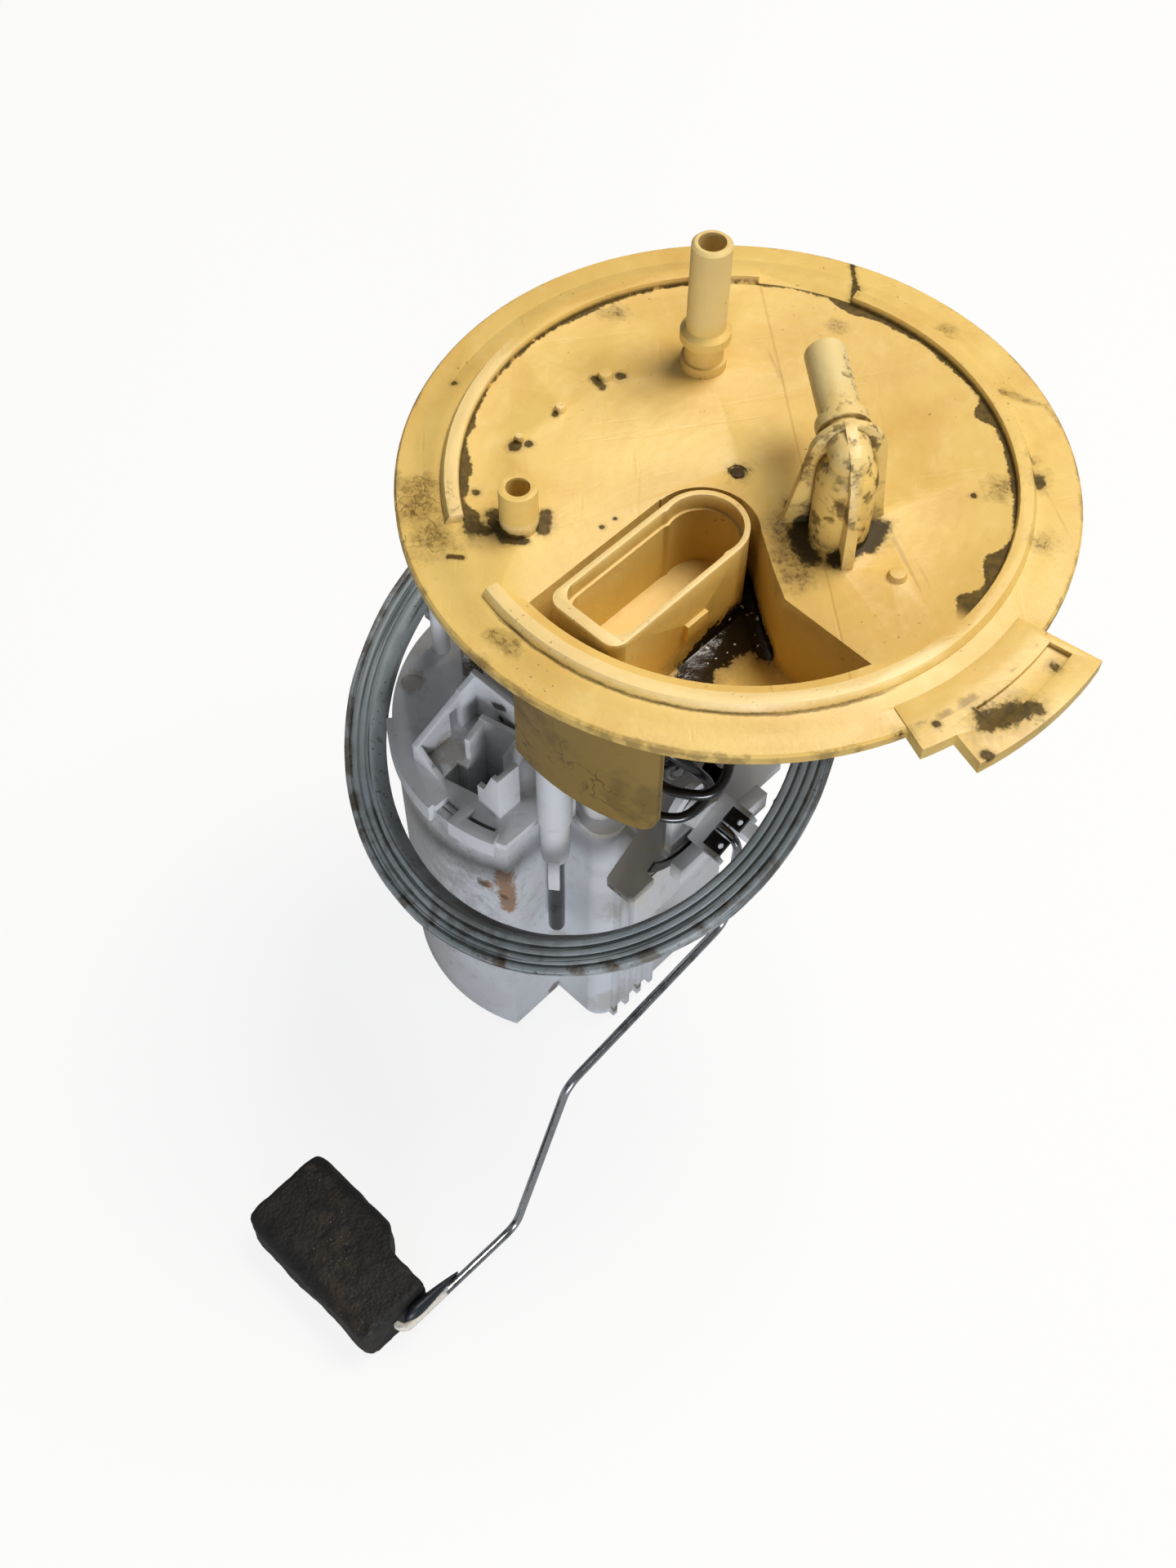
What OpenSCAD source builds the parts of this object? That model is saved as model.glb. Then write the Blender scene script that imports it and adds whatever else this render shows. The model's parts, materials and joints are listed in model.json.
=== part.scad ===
// In-tank fuel pump module: a round tank flange, two spring-loaded guide rods, an offset
// reservoir pot with its electric pump, and a level sender with a float.
// The origin is the centre of the flange's seating face; the flange normal is +Z.

/* [Flange] */
// outer diameter of the tank flange
flange_d = 130; // [126:1:134]
// thickness of the flange plate
flange_t = 3; // [2.6:0.1:3.6]
// outer diameter of the locating collar under the flange
collar_d = 104; // [102:1:105]
// height of the locating collar
collar_h = 5; // [4:0.5:7]
// height of the raised ring on the flange
ridge_h = 1.7; // [1:0.1:2.4]
// depth of the connector pocket below the flange's top face
pocket_depth = 20; // [18:1:22]
// length of the front locating tab below the seating face
tab_len = 46.5; // [38:0.5:48]

/* [Spigots] */
// outer diameter of the quick-connect tubes
spigot_d = 7.89; // [7.89:0.01:8]
// bore of the quick-connect tubes
spigot_bore = 5.4; // [4.6:0.1:5.6]
// diameter of the retaining bead on each tube
bead_d = 10.1; // [9.8:0.1:10.4]
// height of the straight tube above the flange
straight_h = 30; // [26:1:34]
// length of the angled tube from its riser's axis
angled_len = 27; // [25:0.5:29]
// height of the angled tube's axis above the flange
angled_h = 19.3; // [18.5:0.1:20.3]

/* [Connector] */
// outer width of the connector shroud
conn_w = 17.2; // [16.6:0.2:17.4]
// overall length of the connector shroud
conn_l = 41.3; // [40:0.5:42]
// height of the shroud's rim above the flange
conn_rise = 1.5; // [0.5:0.5:3]
// wall of the shroud
conn_wall = 1.7; // [1.4:0.1:2]

/* [Guides] */
// diameter of the steel guide rods
rod_d = 4; // [3.6:0.1:4.4]
// distance of the rods' lower tips below the seating face
rod_reach = 130.4; // [126:0.5:132]
// running clearance around each rod
rod_gap = 0.05; // [0.02:0.01:0.1]
// travel of the reservoir towards the flange
slide_travel = 28; // [20:1:28]

/* [Reservoir] */
// radius of the reservoir pot
pot_r = 40.2; // [39.6:0.2:40.6]
// overall height of the reservoir pot
pot_h = 88.5; // [87:0.5:90]
// wall of the reservoir pot
pot_wall = 2; // [1.6:0.1:2.2]
// diameter of the electric pump's steel can
pump_d = 38; // [36:0.5:38.5]

/* [Level sender] */
// diameter of the float arm's wire
wire_d = 2; // [1.8:0.1:2.2]
// length of the float
float_l = 42.3; // [40:0.1:44]
// width of the float
float_w = 24; // [22:0.5:25]
// thickness of the float
float_t = 16.2; // [14:0.1:16.4]

/* [Seal] */
// outer diameter of the seal ring
seal_d = 120; // [119:0.5:120.5]
// width of the ribbed face of the seal ring
seal_w = 8; // [7.4:0.1:8.2]
// thickness of the seal ring
seal_t = 4.4; // [4:0.1:4.8]

/* [Hidden] */
$fn = 96;
eps = 0.01;
fit = 0.3;                     // clearance between separate pieces that move apart

// flange
flange_r = flange_d / 2;
collar_r = collar_d / 2;
shell_t = 1.8;                 // wall of the collar, pocket and tabs
collar_in = collar_r - shell_t;
rim_step_r = 59.6;
rim_step = 0.3;
rim_round = 0.5;
ridge_in = 52.4;
ridge_out = 56.2;
ridge_gap_front = [-122.4, -103.3];
ridge_gap_rear = [105.5, 126.8];
lug_r = 76.5;
lug_span = [-16, 8.6];
lug_step_r = 69.7;
lug_step_span = [-21.6, -15.9];
lug_recess = [67, 71.5];
lug_recess_span = [-10.6, 7.2];
lug_recess_deep = 1.1;
pin_marks = [[-35.5, 0.8, 1.7], [-35.5, -11.8, 1.3], [-35.5, -23.1, 1.1], [37.7, 1.1, 1.9]];
pin_mark_h = 1.3;
gate_r = 1.9;
gate_deep = 0.35;
vent_pos = [-20.3, -38];
vent_r = 3.7;
vent_bore_r = 2.3;
vent_h = 10;
tab_span = [-100, -62.5];
tab_round = 4;

// pocket and connector
conn_x = 5.1;
conn_end_y = -6.6;
conn_r = conn_w / 2;
conn_round_y = conn_end_y - conn_r;
conn_low_y = conn_end_y - conn_l;
conn_corner = 3;
cavity_corner = 3.6;
cavity_lead = 0.6;             // widening of the socket's mouth
cavity_lead_h = 3.6;
cavity_deep = 18;
conn_end_wall = 2.8;
pocket_gap = 2.1;              // space between the shroud and the pocket's wall
pocket_r = conn_r + pocket_gap;
pocket_x0 = conn_x - conn_r - 2.3;
pocket_bend = [[12.4, -7.5], [20.4, -13.2], [26.6, -17.1], [60, -17.9]];
pocket_floor_z = flange_t - pocket_depth;
latch_y = [-29.2, -23.6];
latch_z = [-9, -5];
latch_out = 0.9;
blade_w = 2.8;
blade_t = 0.8;
blade_y = [-38, -31, -24, -17];
blade_up = 6;
blade_x = conn_x + 2.2;         // the row stands off the socket's middle
blade_down = 6;

// spigots
spigot_r = spigot_d / 2;
bead_r = bead_d / 2;
bore_r = spigot_bore / 2;
straight_pos = [-24.3, 17.2];
straight_bead_h = 7.2;
straight_foot_r = 4.6;
riser_pos = [23, 2];
riser_r = 5.6;
angled_dir = 140;
angled_bead = [6.1, 8.7];
fin_t = 1.6;
fin_off = 3;                   // distance of the cross fin from the riser's axis
fin_feet = [-10.8, 9.2];
fin_crown = angled_h + 4.7;    // height of the cross fin above the flange
fin_arch_r = 7.1;
fin_mid = 0.4;
blade_front = 9.4;
blade_thick = 2.1;
riser_dome_h = angled_h - 5.1; // where the riser's rounded end starts
barb_r = 3.9;
barb_len = 14;
barb_step = 0.7;

// guides
rod_r = rod_d / 2;
rod_front = [-8.2, 8.1 - collar_in];
rod_top = -1;
boss_r = rod_r + 1.7;
boss_len = 20;
sleeve_r = rod_r + 1.9;
sleeve_top = -57;
sleeve_bottom = -96.5;
sleeve_neck = -81;
neck_cut = 0.5;
tongue_w = 2.6;
tongue_low = -107;
coil_wire = 1.2;
coil_r = rod_r + 1.55;
coil_turns = 6;

// reservoir
pot_bottom = -175;
pot_top = pot_bottom + pot_h;
pot_pos = [-29.7, -17];
pot_front_y = pot_pos[1] - pot_r;
rod_rear = [-40.5, pot_pos[1] + pot_r - 9];
pot_flat_x = 2.6;
notch_x = -12.4;
notch_y = rod_front[1] + 4.5;
pot_corner = 5;                // rounding between the flat side and the notch
foot_h = 1;
foot_r = 4;
foot_ring = 31;
foot_angles = [100, 215, 330];
pot_floor = pot_bottom + foot_h + pot_wall;
rib_y = [-33, -28.5, -24, -19.5];
rib_out = 1.3;
rib_w = 1.4;
rib_low = 0.2;
rib_short = 20;
port_pos = [-48, -34];
port_r = 1.6;
port_ring = 4;
deck_t = 2;
deck_top = pot_top + deck_t;
skirt_t = 1.4;
skirt_drop = 5.5;
skirt_span = [-131, -93];

// holder lid
tray_x = [-44, -21];
tray_y = [pot_front_y + 5.6, pot_front_y + 25.8];
tray_wall = 1.4;
tray_rise_back = 15;
tray_rise_front = 5.8;
tray_front = 8.5;              // length of the low front wall
window_y = [pot_front_y + 16, pot_front_y + 19.4];
window_rise = 8.5;
sock_pos = [-29.9, pot_front_y + 14.9];
sock_turn = 14;
sock_half = [4.4, 6.6];
sock_ear = 2.8;                // how far the mouth's front half reaches out
sock_rise = 8.5;
sock_side = 6.2;               // length of the socket's side walls
sock_wall = 1.3;
sock_deep = 18;
post_x = [-25.2, -18.4];
post_y = [pot_front_y + 7.9, pot_front_y + 14.4];
post_rise = 14.5;
clip_notch = [-92, -84.6];
clip_span = [-84.5, -68];
clip_end = 4;
clip_in_r = pot_r - 1.8;
clip_groove_r = pot_r - 3.3;
clip_rise = 1.2;
clip_drop = 4;
duct_pos = [-48.6, -28.2];
duct_r = 2.4;
duct_h = 24;
dimple_pos = [-60.2, -37.1];
dimple_r = 2.7;
column_pos = [-62.6, -25.4];
column_r = 2.1;
column_h = 20;

// pump
pump_pos = [-23, -6];
pump_r = pump_d / 2;
can_t = 1.1;
can_bottom = -164;
can_top = -92;
rubber_t = 2.4;
holder_ring = 1.6;
holder_ring_top = -77;
rubber_low = -96;
rubber_top = -80;
inner_r = pump_r - can_t;
inlet_t = 6;
inlet_r = 4;
inlet_bore = 2.2;
chamber_floor = can_bottom + 1 + inlet_t;
wheel_t = 3.4;
wheel_gap = 0.3;
wheel_r = 14;
wheel_vanes = 36;
wheel_vane_deep = 2.2;
chamber_t = 4;
chamber_top = chamber_floor + wheel_t + 2 * wheel_gap + chamber_t;
shaft_r = 1.5;
shaft_gap = 0.05;
shaft_low = can_bottom + 3;
shaft_top = -96;
magnet_t = 2.4;
magnet_z = [chamber_top + 1, -106];
rotor_r = inner_r - magnet_t - 0.6;
rotor_z = [chamber_top + 5, -114];
rotor_slots = 8;
slot_w = 1.8;
slot_deep = 4.5;
comm_r = 6;
comm_z = [-111.5, -105];
comm_bars = 8;
brush_size = [5, 4, 4.6];
brush_gap = 0.05;
cap_low = -103;
cap_disc = -96;
cap_top = -88;
outlet_off = [-3.5, 8.5];
outlet_r = 4.6;
outlet_top = -69;
valve_bore_r = 3;
valve_seat_z = -91;
valve_seat_r = 1.6;
poppet_r = valve_bore_r - 0.4;
poppet_h = 4;
poppet_lift = 1.5;
term_off = [[8, -9], [12, -2]];

// strainer, valve and jet
strainer_size = [34, 20, 5.4];
strainer_round = 4;
valve_disc_r = 7;
valve_disc_t = 0.9;
jet_pos = [-5.4, notch_y + 7];
jet_r = 2.6;
jet_top = deck_top + 11.5;
jet_low = -168;

// sender
pivot_y = -22.7;
pivot_z = -72.2;
arm_x = 28;
plate_x = [12.9, 14.9];
plate_y = [-40, -2];
plate_low = -106;
shelf_y = [-44, 6];
shelf_x = 16.8;
shelf_top = -84.6;
shelf_t = 2.4;
slot_y = [-36.5, -20.2];       // opening of the shelf that the wiper swings through
pin_r = 2.2;
pin_end = 18.7;
pin_gap = 0.05;
ear_r = 6.5;
card_t = 0.6;
card_r = [15.3, 17.8];
card_span = [-4, 53];
card_gap = 0.05;
hub_r = 4.4;
hub_x = [15.3, 19.2];
claw_tilt = 23;
claw_x = [19, 22.4, 27];       // back and front of the yoke, tips of its claws
claw_half = 6.3;
claw_z = [-5, 2];              // lower and upper face of the yoke from the pivot
claw_t = 1.2;
contact_tip = 26.9;
contact_in = 1.4;
contact_t = 1.3;
guard_y = [-32.4, -4];
guard_x = [17.6, 21];
guard_z = -81.4;
guard_root = 15.8;             // length of the guard bar that stands on the shelf
rest_w = 4;
rest_t = 2;
term_block_h = 4;
wiper_x = 16.2;
wiper_t = 0.4;
wiper_w = 2.4;
wiper_r = 17;

// float arm
wire_r = wire_d / 2;
arm_bend = 3;
bend_steps = 6;
arm_pts = [[20.2, pivot_y, pivot_z], [arm_x, pivot_y, pivot_z], [arm_x, -23.9, -106.2],
           [arm_x, -75.2, -114.8], [arm_x, -93.3, -167.3], [arm_x, -128, -165.4]];
float_end_x = 25;
float_front_y = -139;
float_low = -174.8;
float_round = 4.2;
float_step_x = 12;
float_step = 4.8;
clip_y = [-126.4, -112.6];
clip_half = 2.6;

// seal ring
seal_pos = [-19.5, -22.3, -70.5];
seal_tilt = [28.8, -5.95, 0];
seal_r = seal_d / 2;
seal_grooves = 3;
groove_w = 0.55;
groove_deep = 0.8;
lip_w = 1.4;
lip_drop = 1.6;
rest_pad = [[-72.6, -17.8], [30.4, -12.4]];
seal_n = [sin(seal_tilt[1]) * cos(seal_tilt[0]), -sin(seal_tilt[0]),
          cos(seal_tilt[1]) * cos(seal_tilt[0])];
// height of the tilted ring's lower face at a place, less a hair
function ring_under(x, y) = seal_pos[2] - (seal_n[0] * (x - seal_pos[0])
    + seal_n[1] * (y - seal_pos[1]) + seal_t / 2) / seal_n[2] - 0.05;

// hoses and leads: hand-chosen round points on the real routes
hose_r = 5.1;
hose_in = barb_r + barb_step;
feed_pts = [[-24.3, 17.2, -3.4], [-24.3, 17.2, -18], [-24.6, 15.5, -30], [-25.4, 9.5, -44],
            [-26.3, 3.6, -56], [-26.5, 2.5, -66], [-26.5, 2.5, -78]];
// the last points stand on the jet
return_pts = [[23, 2, -3.4], [23, 2, -18], [22.2, -4, -31], [17, -16, -43.5],
              [7, -25.5, deck_top + 32.5], [-3, jet_pos[1] + 0.6, deck_top + 24.5],
              [jet_pos[0], jet_pos[1], deck_top + 16.5], [jet_pos[0], jet_pos[1], deck_top + 4.5]];
lead_r = 1.1;
plug_size = [9, 29, 9];
plug_y = -27.5;
plug_top = pocket_floor_z - 3.5;
lead_top = plug_top - plug_size[2] + 3 - 0.1;
pump_lead_a = [[7.3, -38, lead_top], [8, -38.5, lead_top - 6], [18, -35, -37], [24, -30, -47],
    [24, -37, -50.5], [17, -41.5, -51], [6, -38, -55.5], [4.6, -34.5, -61], [4, -30, -67],
    [-3, -19.5, -73.4], [-10, -16.4, -76.6], [-14.6, -15, -79], [-15, -15, -83.9]];
pump_lead_b = [[7.3, -31, lead_top], [8, -31, lead_top - 6], [17, -29, -33], [24.5, -25.5, -41],
    [26.5, -32, -44.6], [19, -37, -45.8], [10, -34.5, -49.5], [9.2, -32.8, -55], [9, -30, -61],
    [5, -24, -68], [-1, -14.5, -73.2], [-7, -9.6, -76.2], [-10.7, -8, -79], [-11, -8, -83.9]];
level_lead_a = [[7.3, -24, lead_top], [8, -23.5, lead_top - 6], [16, -21.5, -36], [19.5, -27, -41.5],
    [15, -32.4, -46], [13.6, -30.6, -53], [12.8, -26.6, -58], [9.6, -21, -63], [7, -14, -66],
    [5.8, -5, -72], [5.6, -2, -76.5], [5.6, -2, -79.2]];
level_lead_b = [[7.3, -17, lead_top], [7, -15, -34], [7, -12, -44], [8, -7, -56], [7, -1, -66],
    [5.6, 2, -74], [5.6, 2, -79.2]];

// wedge between two angles, for cutting round parts
module sector(span, r, h) {
    mid = (span[0] + span[1]) / 2;
    linear_extrude(h)
        polygon([[0, 0], for (a = [span[0], (span[0] + mid) / 2, mid, (mid + span[1]) / 2, span[1]])
            1.3 * r * [cos(a), sin(a)]]);
}

// part of a tube wall between two angles
module arc_wall(r_in, r_out, h, span) {
    intersection() {
        difference() {
            cylinder(r = r_out, h = h);
            translate([0, 0, -eps])
                cylinder(r = r_in, h = h + 2 * eps);
        }
        sector(span, r_out, h);
    }
}

// tube wall all round
module pipe(r_out, r_in, h) {
    difference() {
        cylinder(r = r_out, h = h);
        translate([0, 0, -1])
            cylinder(r = r_in, h = h + 2);
    }
}

// rectangle with round corners, exact in plan
module round_rect(x0, x1, y0, y1, r) {
    translate([x0 + r, y0])
        square([x1 - x0 - 2 * r, y1 - y0]);
    translate([x0, y0 + r])
        square([x1 - x0, y1 - y0 - 2 * r]);
    for (x = [x0 + r, x1 - r], y = [y0 + r, y1 - r])
        translate([x, y])
            circle(r = r);
}

// smooth curve through points
function curve_at(a, b, c, d, t) =
    0.5 * (2 * b + (c - a) * t + (2 * a - 5 * b + 4 * c - d) * t * t
        + (3 * b - a - 3 * c + d) * t * t * t);
function curve(p, n) = [
    for (i = [0 : len(p) - 2], j = [0 : n - 1])
        curve_at(p[max(i - 1, 0)], p[i], p[i + 1], p[min(i + 2, len(p) - 1)], j / n),
    p[len(p) - 1]];
function unit(v) = v / norm(v);
function tangents(p) = [
    for (i = [0 : len(p) - 1]) unit(p[min(i + 1, len(p) - 1)] - p[max(i - 1, 0)])];
function carry(t, i, u, done) = i >= len(t) ? done :
    let (n = unit(u - (u * t[i]) * t[i])) carry(t, i + 1, n, concat(done, [n]));

// one closed solid swept along points, with its own radius at each ring
module sweep(p, radii, sides) {
    t = tangents(p);
    start = abs(t[0][0]) < 0.8 ? [1, 0, 0] : [0, 1, 0];
    u = carry(t, 0, start, []);
    last = len(p) - 1;
    rings = [
        for (i = [0 : last], k = [0 : sides - 1])
            p[i] + radii[i] * (cos(360 * k / sides) * u[i] + sin(360 * k / sides) * cross(t[i], u[i]))];
    walls = [
        for (i = [0 : last - 1], k = [0 : sides - 1])
            let (m = (k + 1) % sides, a = i * sides, b = a + sides)
                each [[a + k, b + k, b + m], [a + k, b + m, a + m]]];
    polyhedron(rings, concat(walls, [[for (k = [0 : sides - 1]) k]],
        [[for (k = [sides - 1 : -1 : 0]) last * sides + k]]), convexity = 8);
}

// helical wire spring standing at z0
module coil(r, wire, z0, z1, turns, per_turn) {
    n = turns * per_turn;
    rise = z1 - z0 - wire;
    pts = [for (i = [0 : n])
        [r * cos(360 * i / per_turn), r * sin(360 * i / per_turn), z0 + wire / 2 + rise * i / n]];
    sweep(pts, [for (i = [0 : n]) wire / 2], 8);
}

// barbed hose end pointing down from z = 0
module barb(len) {
    translate([0, 0, -len])
        cylinder(r = barb_r, h = len + 1);
    for (k = [0 : 2])
        translate([0, 0, -len + 1.2 + 3.2 * k])
            cylinder(r1 = barb_r - 0.5, r2 = barb_r + barb_step, h = 2.2);
}

// plan of the connector pocket, grown by g
module pocket_plan(g) {
    intersection() {
        circle(r = collar_in + g);
        union() {
            translate([conn_x, conn_round_y])
                circle(r = pocket_r + g);
            translate([pocket_x0 - g, -flange_r])
                square([conn_x + pocket_r + g - (pocket_x0 - g), flange_r + conn_round_y]);
            polygon([[conn_x, conn_round_y], pocket_bend[0] + [0.6, 0.8] * g,
                pocket_bend[1] + [0.6, 0.8] * g, pocket_bend[2] + [0.3, 1] * g,
                pocket_bend[3] + [0, 1] * g, [flange_r, -flange_r], [conn_x, -flange_r]]);
        }
    }
}

// plan of the connector shroud
module shroud_plan() {
    translate([conn_x, conn_round_y])
        circle(r = conn_r);
    translate([conn_x - conn_r, conn_low_y + 2 * conn_corner])
        square([conn_w, conn_round_y - conn_low_y - 2 * conn_corner]);
    round_rect(conn_x - conn_r, conn_x + conn_r, conn_low_y, conn_round_y, conn_corner);
}

// plan of the connector socket, widened by g
module cavity_plan(g) {
    r = conn_r - conn_wall + g;
    translate([conn_x, conn_round_y])
        circle(r = r);
    round_rect(conn_x - r, conn_x + r, conn_low_y + conn_end_wall - g, conn_round_y, cavity_corner);
}

// straight quick-connect tube with its bead
module straight_spigot() {
    translate([straight_pos[0], straight_pos[1], flange_t - eps]) {
        cylinder(r = spigot_r, h = straight_h - 0.6);
        translate([0, 0, straight_h - 0.6 - eps])
            cylinder(r1 = spigot_r, r2 = spigot_r - 0.6, h = 0.6);
        cylinder(r = straight_foot_r, h = 2.2);
        translate([0, 0, straight_bead_h - 1.4])
            cylinder(r1 = spigot_r, r2 = bead_r, h = 1.2);
        translate([0, 0, straight_bead_h - 0.2 - eps])
            cylinder(r = bead_r, h = 2);
        translate([0, 0, straight_bead_h + 1.8 - eps])
            cylinder(r1 = bead_r, r2 = spigot_r, h = 1);
    }
}

// angled quick-connect tube, its riser, cross fin and front blade
module angled_spigot() {
    translate([riser_pos[0], riser_pos[1], flange_t - eps])
        rotate([0, 0, angled_dir]) {
            cylinder(r = riser_r, h = riser_dome_h);
            translate([0, 0, riser_dome_h])
                sphere(r = riser_r);
            translate([0, 0, angled_h])
                sphere(r = spigot_r);
            translate([0, 0, angled_h])
                rotate([0, 90, 0]) {
                    cylinder(r = spigot_r, h = angled_len - 0.8);
                    translate([0, 0, angled_len - 0.8 - eps])
                        cylinder(r1 = spigot_r, r2 = spigot_r - 0.8, h = 0.8);
                    translate([0, 0, angled_bead[0]])
                        cylinder(r = bead_r, h = angled_bead[1] - angled_bead[0]);
                    translate([0, 0, angled_bead[1] - eps])
                        cylinder(r1 = bead_r, r2 = spigot_r, h = 1);
                }
            cross_fin();
            front_blade();
        }
}

// arched fin that stands across the angled tube's root
module cross_fin() {
    arch = fin_crown - fin_arch_r;
    translate([fin_off + fin_t, 0, 0])
        rotate([90, 0, -90])
            linear_extrude(fin_t) {
                translate([fin_mid, arch])
                    circle(r = fin_arch_r);
                polygon([[fin_feet[0], 0], [fin_feet[0] + 1.2, 1.6], [fin_mid - fin_arch_r, arch],
                    [fin_mid + fin_arch_r, arch], [fin_feet[1] - 0.4, 3], [fin_feet[1], 0]]);
            }
}

// blade in front of the riser, from the flange to the cross fin's crown
module front_blade() {
    rotate([90, 0, 0])
        translate([0, 0, -blade_thick / 2])
            linear_extrude(blade_thick)
                polygon([[-blade_front, 0], [-blade_front + 0.8, fin_crown * 0.42],
                    [-blade_front + 2.8, fin_crown * 0.73], [-3, fin_crown - 1.6],
                    [fin_off, fin_crown], [fin_off + fin_t, fin_crown], [fin_off + fin_t, 0]]);
}

module lug() {
    arc_wall(flange_r - 5, lug_r, flange_t, lug_span);
    arc_wall(flange_r - 5, lug_step_r, flange_t, lug_step_span);
}

module ridge() {
    difference() {
        translate([0, 0, flange_t - eps])
            rotate_extrude()
                polygon([[ridge_in, 0], [ridge_in + 0.5, ridge_h], [ridge_out - 0.8, ridge_h],
                    [ridge_out, 0.4], [ridge_out, 0]]);
        for (gap = [ridge_gap_front, ridge_gap_rear])
            translate([0, 0, flange_t])
                sector(gap, ridge_out, ridge_h + 1);
    }
}

// tab hanging from the collar, its lower corners rounded
module hanging_tab(span, len, corner) {
    wide = (span[1] - span[0]) * PI / 180 * collar_r / 2;
    mid = (span[0] + span[1]) / 2;
    intersection() {
        translate([0, 0, -len])
            arc_wall(collar_in + 0.2, collar_r, len + eps, [span[0] - 1, span[1] + 1]);
        rotate([0, 0, mid + 90])
            rotate([90, 0, 0])
                linear_extrude(flange_r)
                    round_rect(-sin(wide / collar_r * 180 / PI) * collar_r,
                        sin(wide / collar_r * 180 / PI) * collar_r, -len, 2 * corner, corner);
    }
}

module flange_cover() {
    color("#E9C46E")
        difference() {
            union() {
                difference() {
                    union() {
                        rotate_extrude()
                            polygon([[0, 0], [flange_r - rim_round, 0], [flange_r, rim_round],
                                [flange_r, flange_t - rim_step - rim_round],
                                [flange_r - rim_round, flange_t - rim_step],
                                [rim_step_r + 0.4, flange_t - rim_step],
                                [rim_step_r, flange_t], [0, flange_t]]);
                        ridge();
                        lug();
                        translate([0, 0, -collar_h])
                            pipe(collar_r, collar_in, collar_h + 1);
                        hanging_tab(tab_span, tab_len, tab_round);
                        translate([0, 0, pocket_floor_z - shell_t])
                            linear_extrude(-pocket_floor_z + shell_t + 1)
                                pocket_plan(shell_t);
                        for (p = [rod_front, rod_rear])
                            translate([p[0], p[1], -boss_len])
                                cylinder(r = boss_r, h = boss_len + 1);
                    }
                    translate([0, 0, pocket_floor_z])
                        linear_extrude(pocket_depth + 5)
                            pocket_plan(0);
                }
                translate([0, 0, pocket_floor_z - eps])
                    linear_extrude(pocket_depth + conn_rise + eps)
                        shroud_plan();
                translate([conn_x + conn_r - 1, latch_y[0], latch_z[0]])
                    cube([1 + latch_out, latch_y[1] - latch_y[0], latch_z[1] - latch_z[0]]);
                straight_spigot();
                angled_spigot();
                translate([vent_pos[0], vent_pos[1], flange_t - eps])
                    cylinder(r = vent_r, h = vent_h);
                for (m = pin_marks)
                    translate([m[0], m[1], flange_t - eps])
                        cylinder(r1 = m[2], r2 = m[2] - 0.4, h = pin_mark_h);
                for (p = [straight_pos, riser_pos])
                    translate([p[0], p[1], 0])
                        barb(barb_len);
            }
            // socket of the connector and the hollow for the plug below it
            translate([0, 0, flange_t + conn_rise - cavity_deep])
                linear_extrude(cavity_deep + 1)
                    cavity_plan(0);
            translate([0, 0, flange_t + conn_rise - cavity_lead_h])
                linear_extrude(cavity_lead_h + 1)
                    cavity_plan(cavity_lead);
            translate([conn_x - plug_size[0] / 2 - fit, plug_y - plug_size[1] / 2 - fit,
                pocket_floor_z - shell_t - 1])
                cube([plug_size[0] + 2 * fit, plug_size[1] + 2 * fit,
                    flange_t + conn_rise - cavity_deep - 2 - (pocket_floor_z - shell_t - 1)]);
            for (y = blade_y)
                translate([blade_x - blade_t / 2, y - blade_w / 2, -20])
                    cube([blade_t, blade_w, 20]);
            // bores
            translate([straight_pos[0], straight_pos[1], -barb_len - 1])
                cylinder(r = bore_r, h = barb_len + flange_t + straight_h + 2);
            translate([riser_pos[0], riser_pos[1], -barb_len - 1])
                cylinder(r = bore_r, h = barb_len + flange_t + angled_h + 1 + bore_r / 2);
            translate([riser_pos[0], riser_pos[1], flange_t + angled_h])
                rotate([0, 90, angled_dir])
                    cylinder(r = bore_r, h = angled_len + 1);
            translate([vent_pos[0], vent_pos[1], -1])
                cylinder(r = vent_bore_r, h = vent_h + flange_t + 2);
            for (p = [rod_front, rod_rear])
                translate([p[0], p[1], -boss_len - 1])
                    cylinder(r = rod_r, h = boss_len + 1 + rod_top);
            translate([0, 0, flange_t - gate_deep])
                pipe(gate_r, gate_r * 0.6, 1);
            translate([0, 0, flange_t - lug_recess_deep])
                arc_wall(lug_recess[0], lug_recess[1], lug_recess_deep + 1, lug_recess_span);
        }
}

module connector_terminals() {
    color("#B9A46A")
        for (y = blade_y)
            translate([blade_x - blade_t / 2, y - blade_w / 2,
                flange_t + conn_rise - cavity_deep - blade_down])
                cube([blade_t, blade_w, blade_down + blade_up]);
}

module guide_rod(p) {
    color("#B8BABC")
        translate([p[0], p[1], -rod_reach + rod_r]) {
            cylinder(r = rod_r, h = rod_reach - rod_r + rod_top);
            sphere(r = rod_r);
        }
}

module guide_rod_front() {
    guide_rod(rod_front);
}

module guide_rod_rear() {
    guide_rod(rod_rear);
}

module guide_spring(p) {
    color("#9DA0A2")
        translate([p[0], p[1], 0])
            coil(coil_r, coil_wire, sleeve_top, -boss_len, coil_turns, 12);
}

module spring_front() {
    guide_spring(rod_front);
}

module spring_rear() {
    guide_spring(rod_rear);
}

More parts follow.
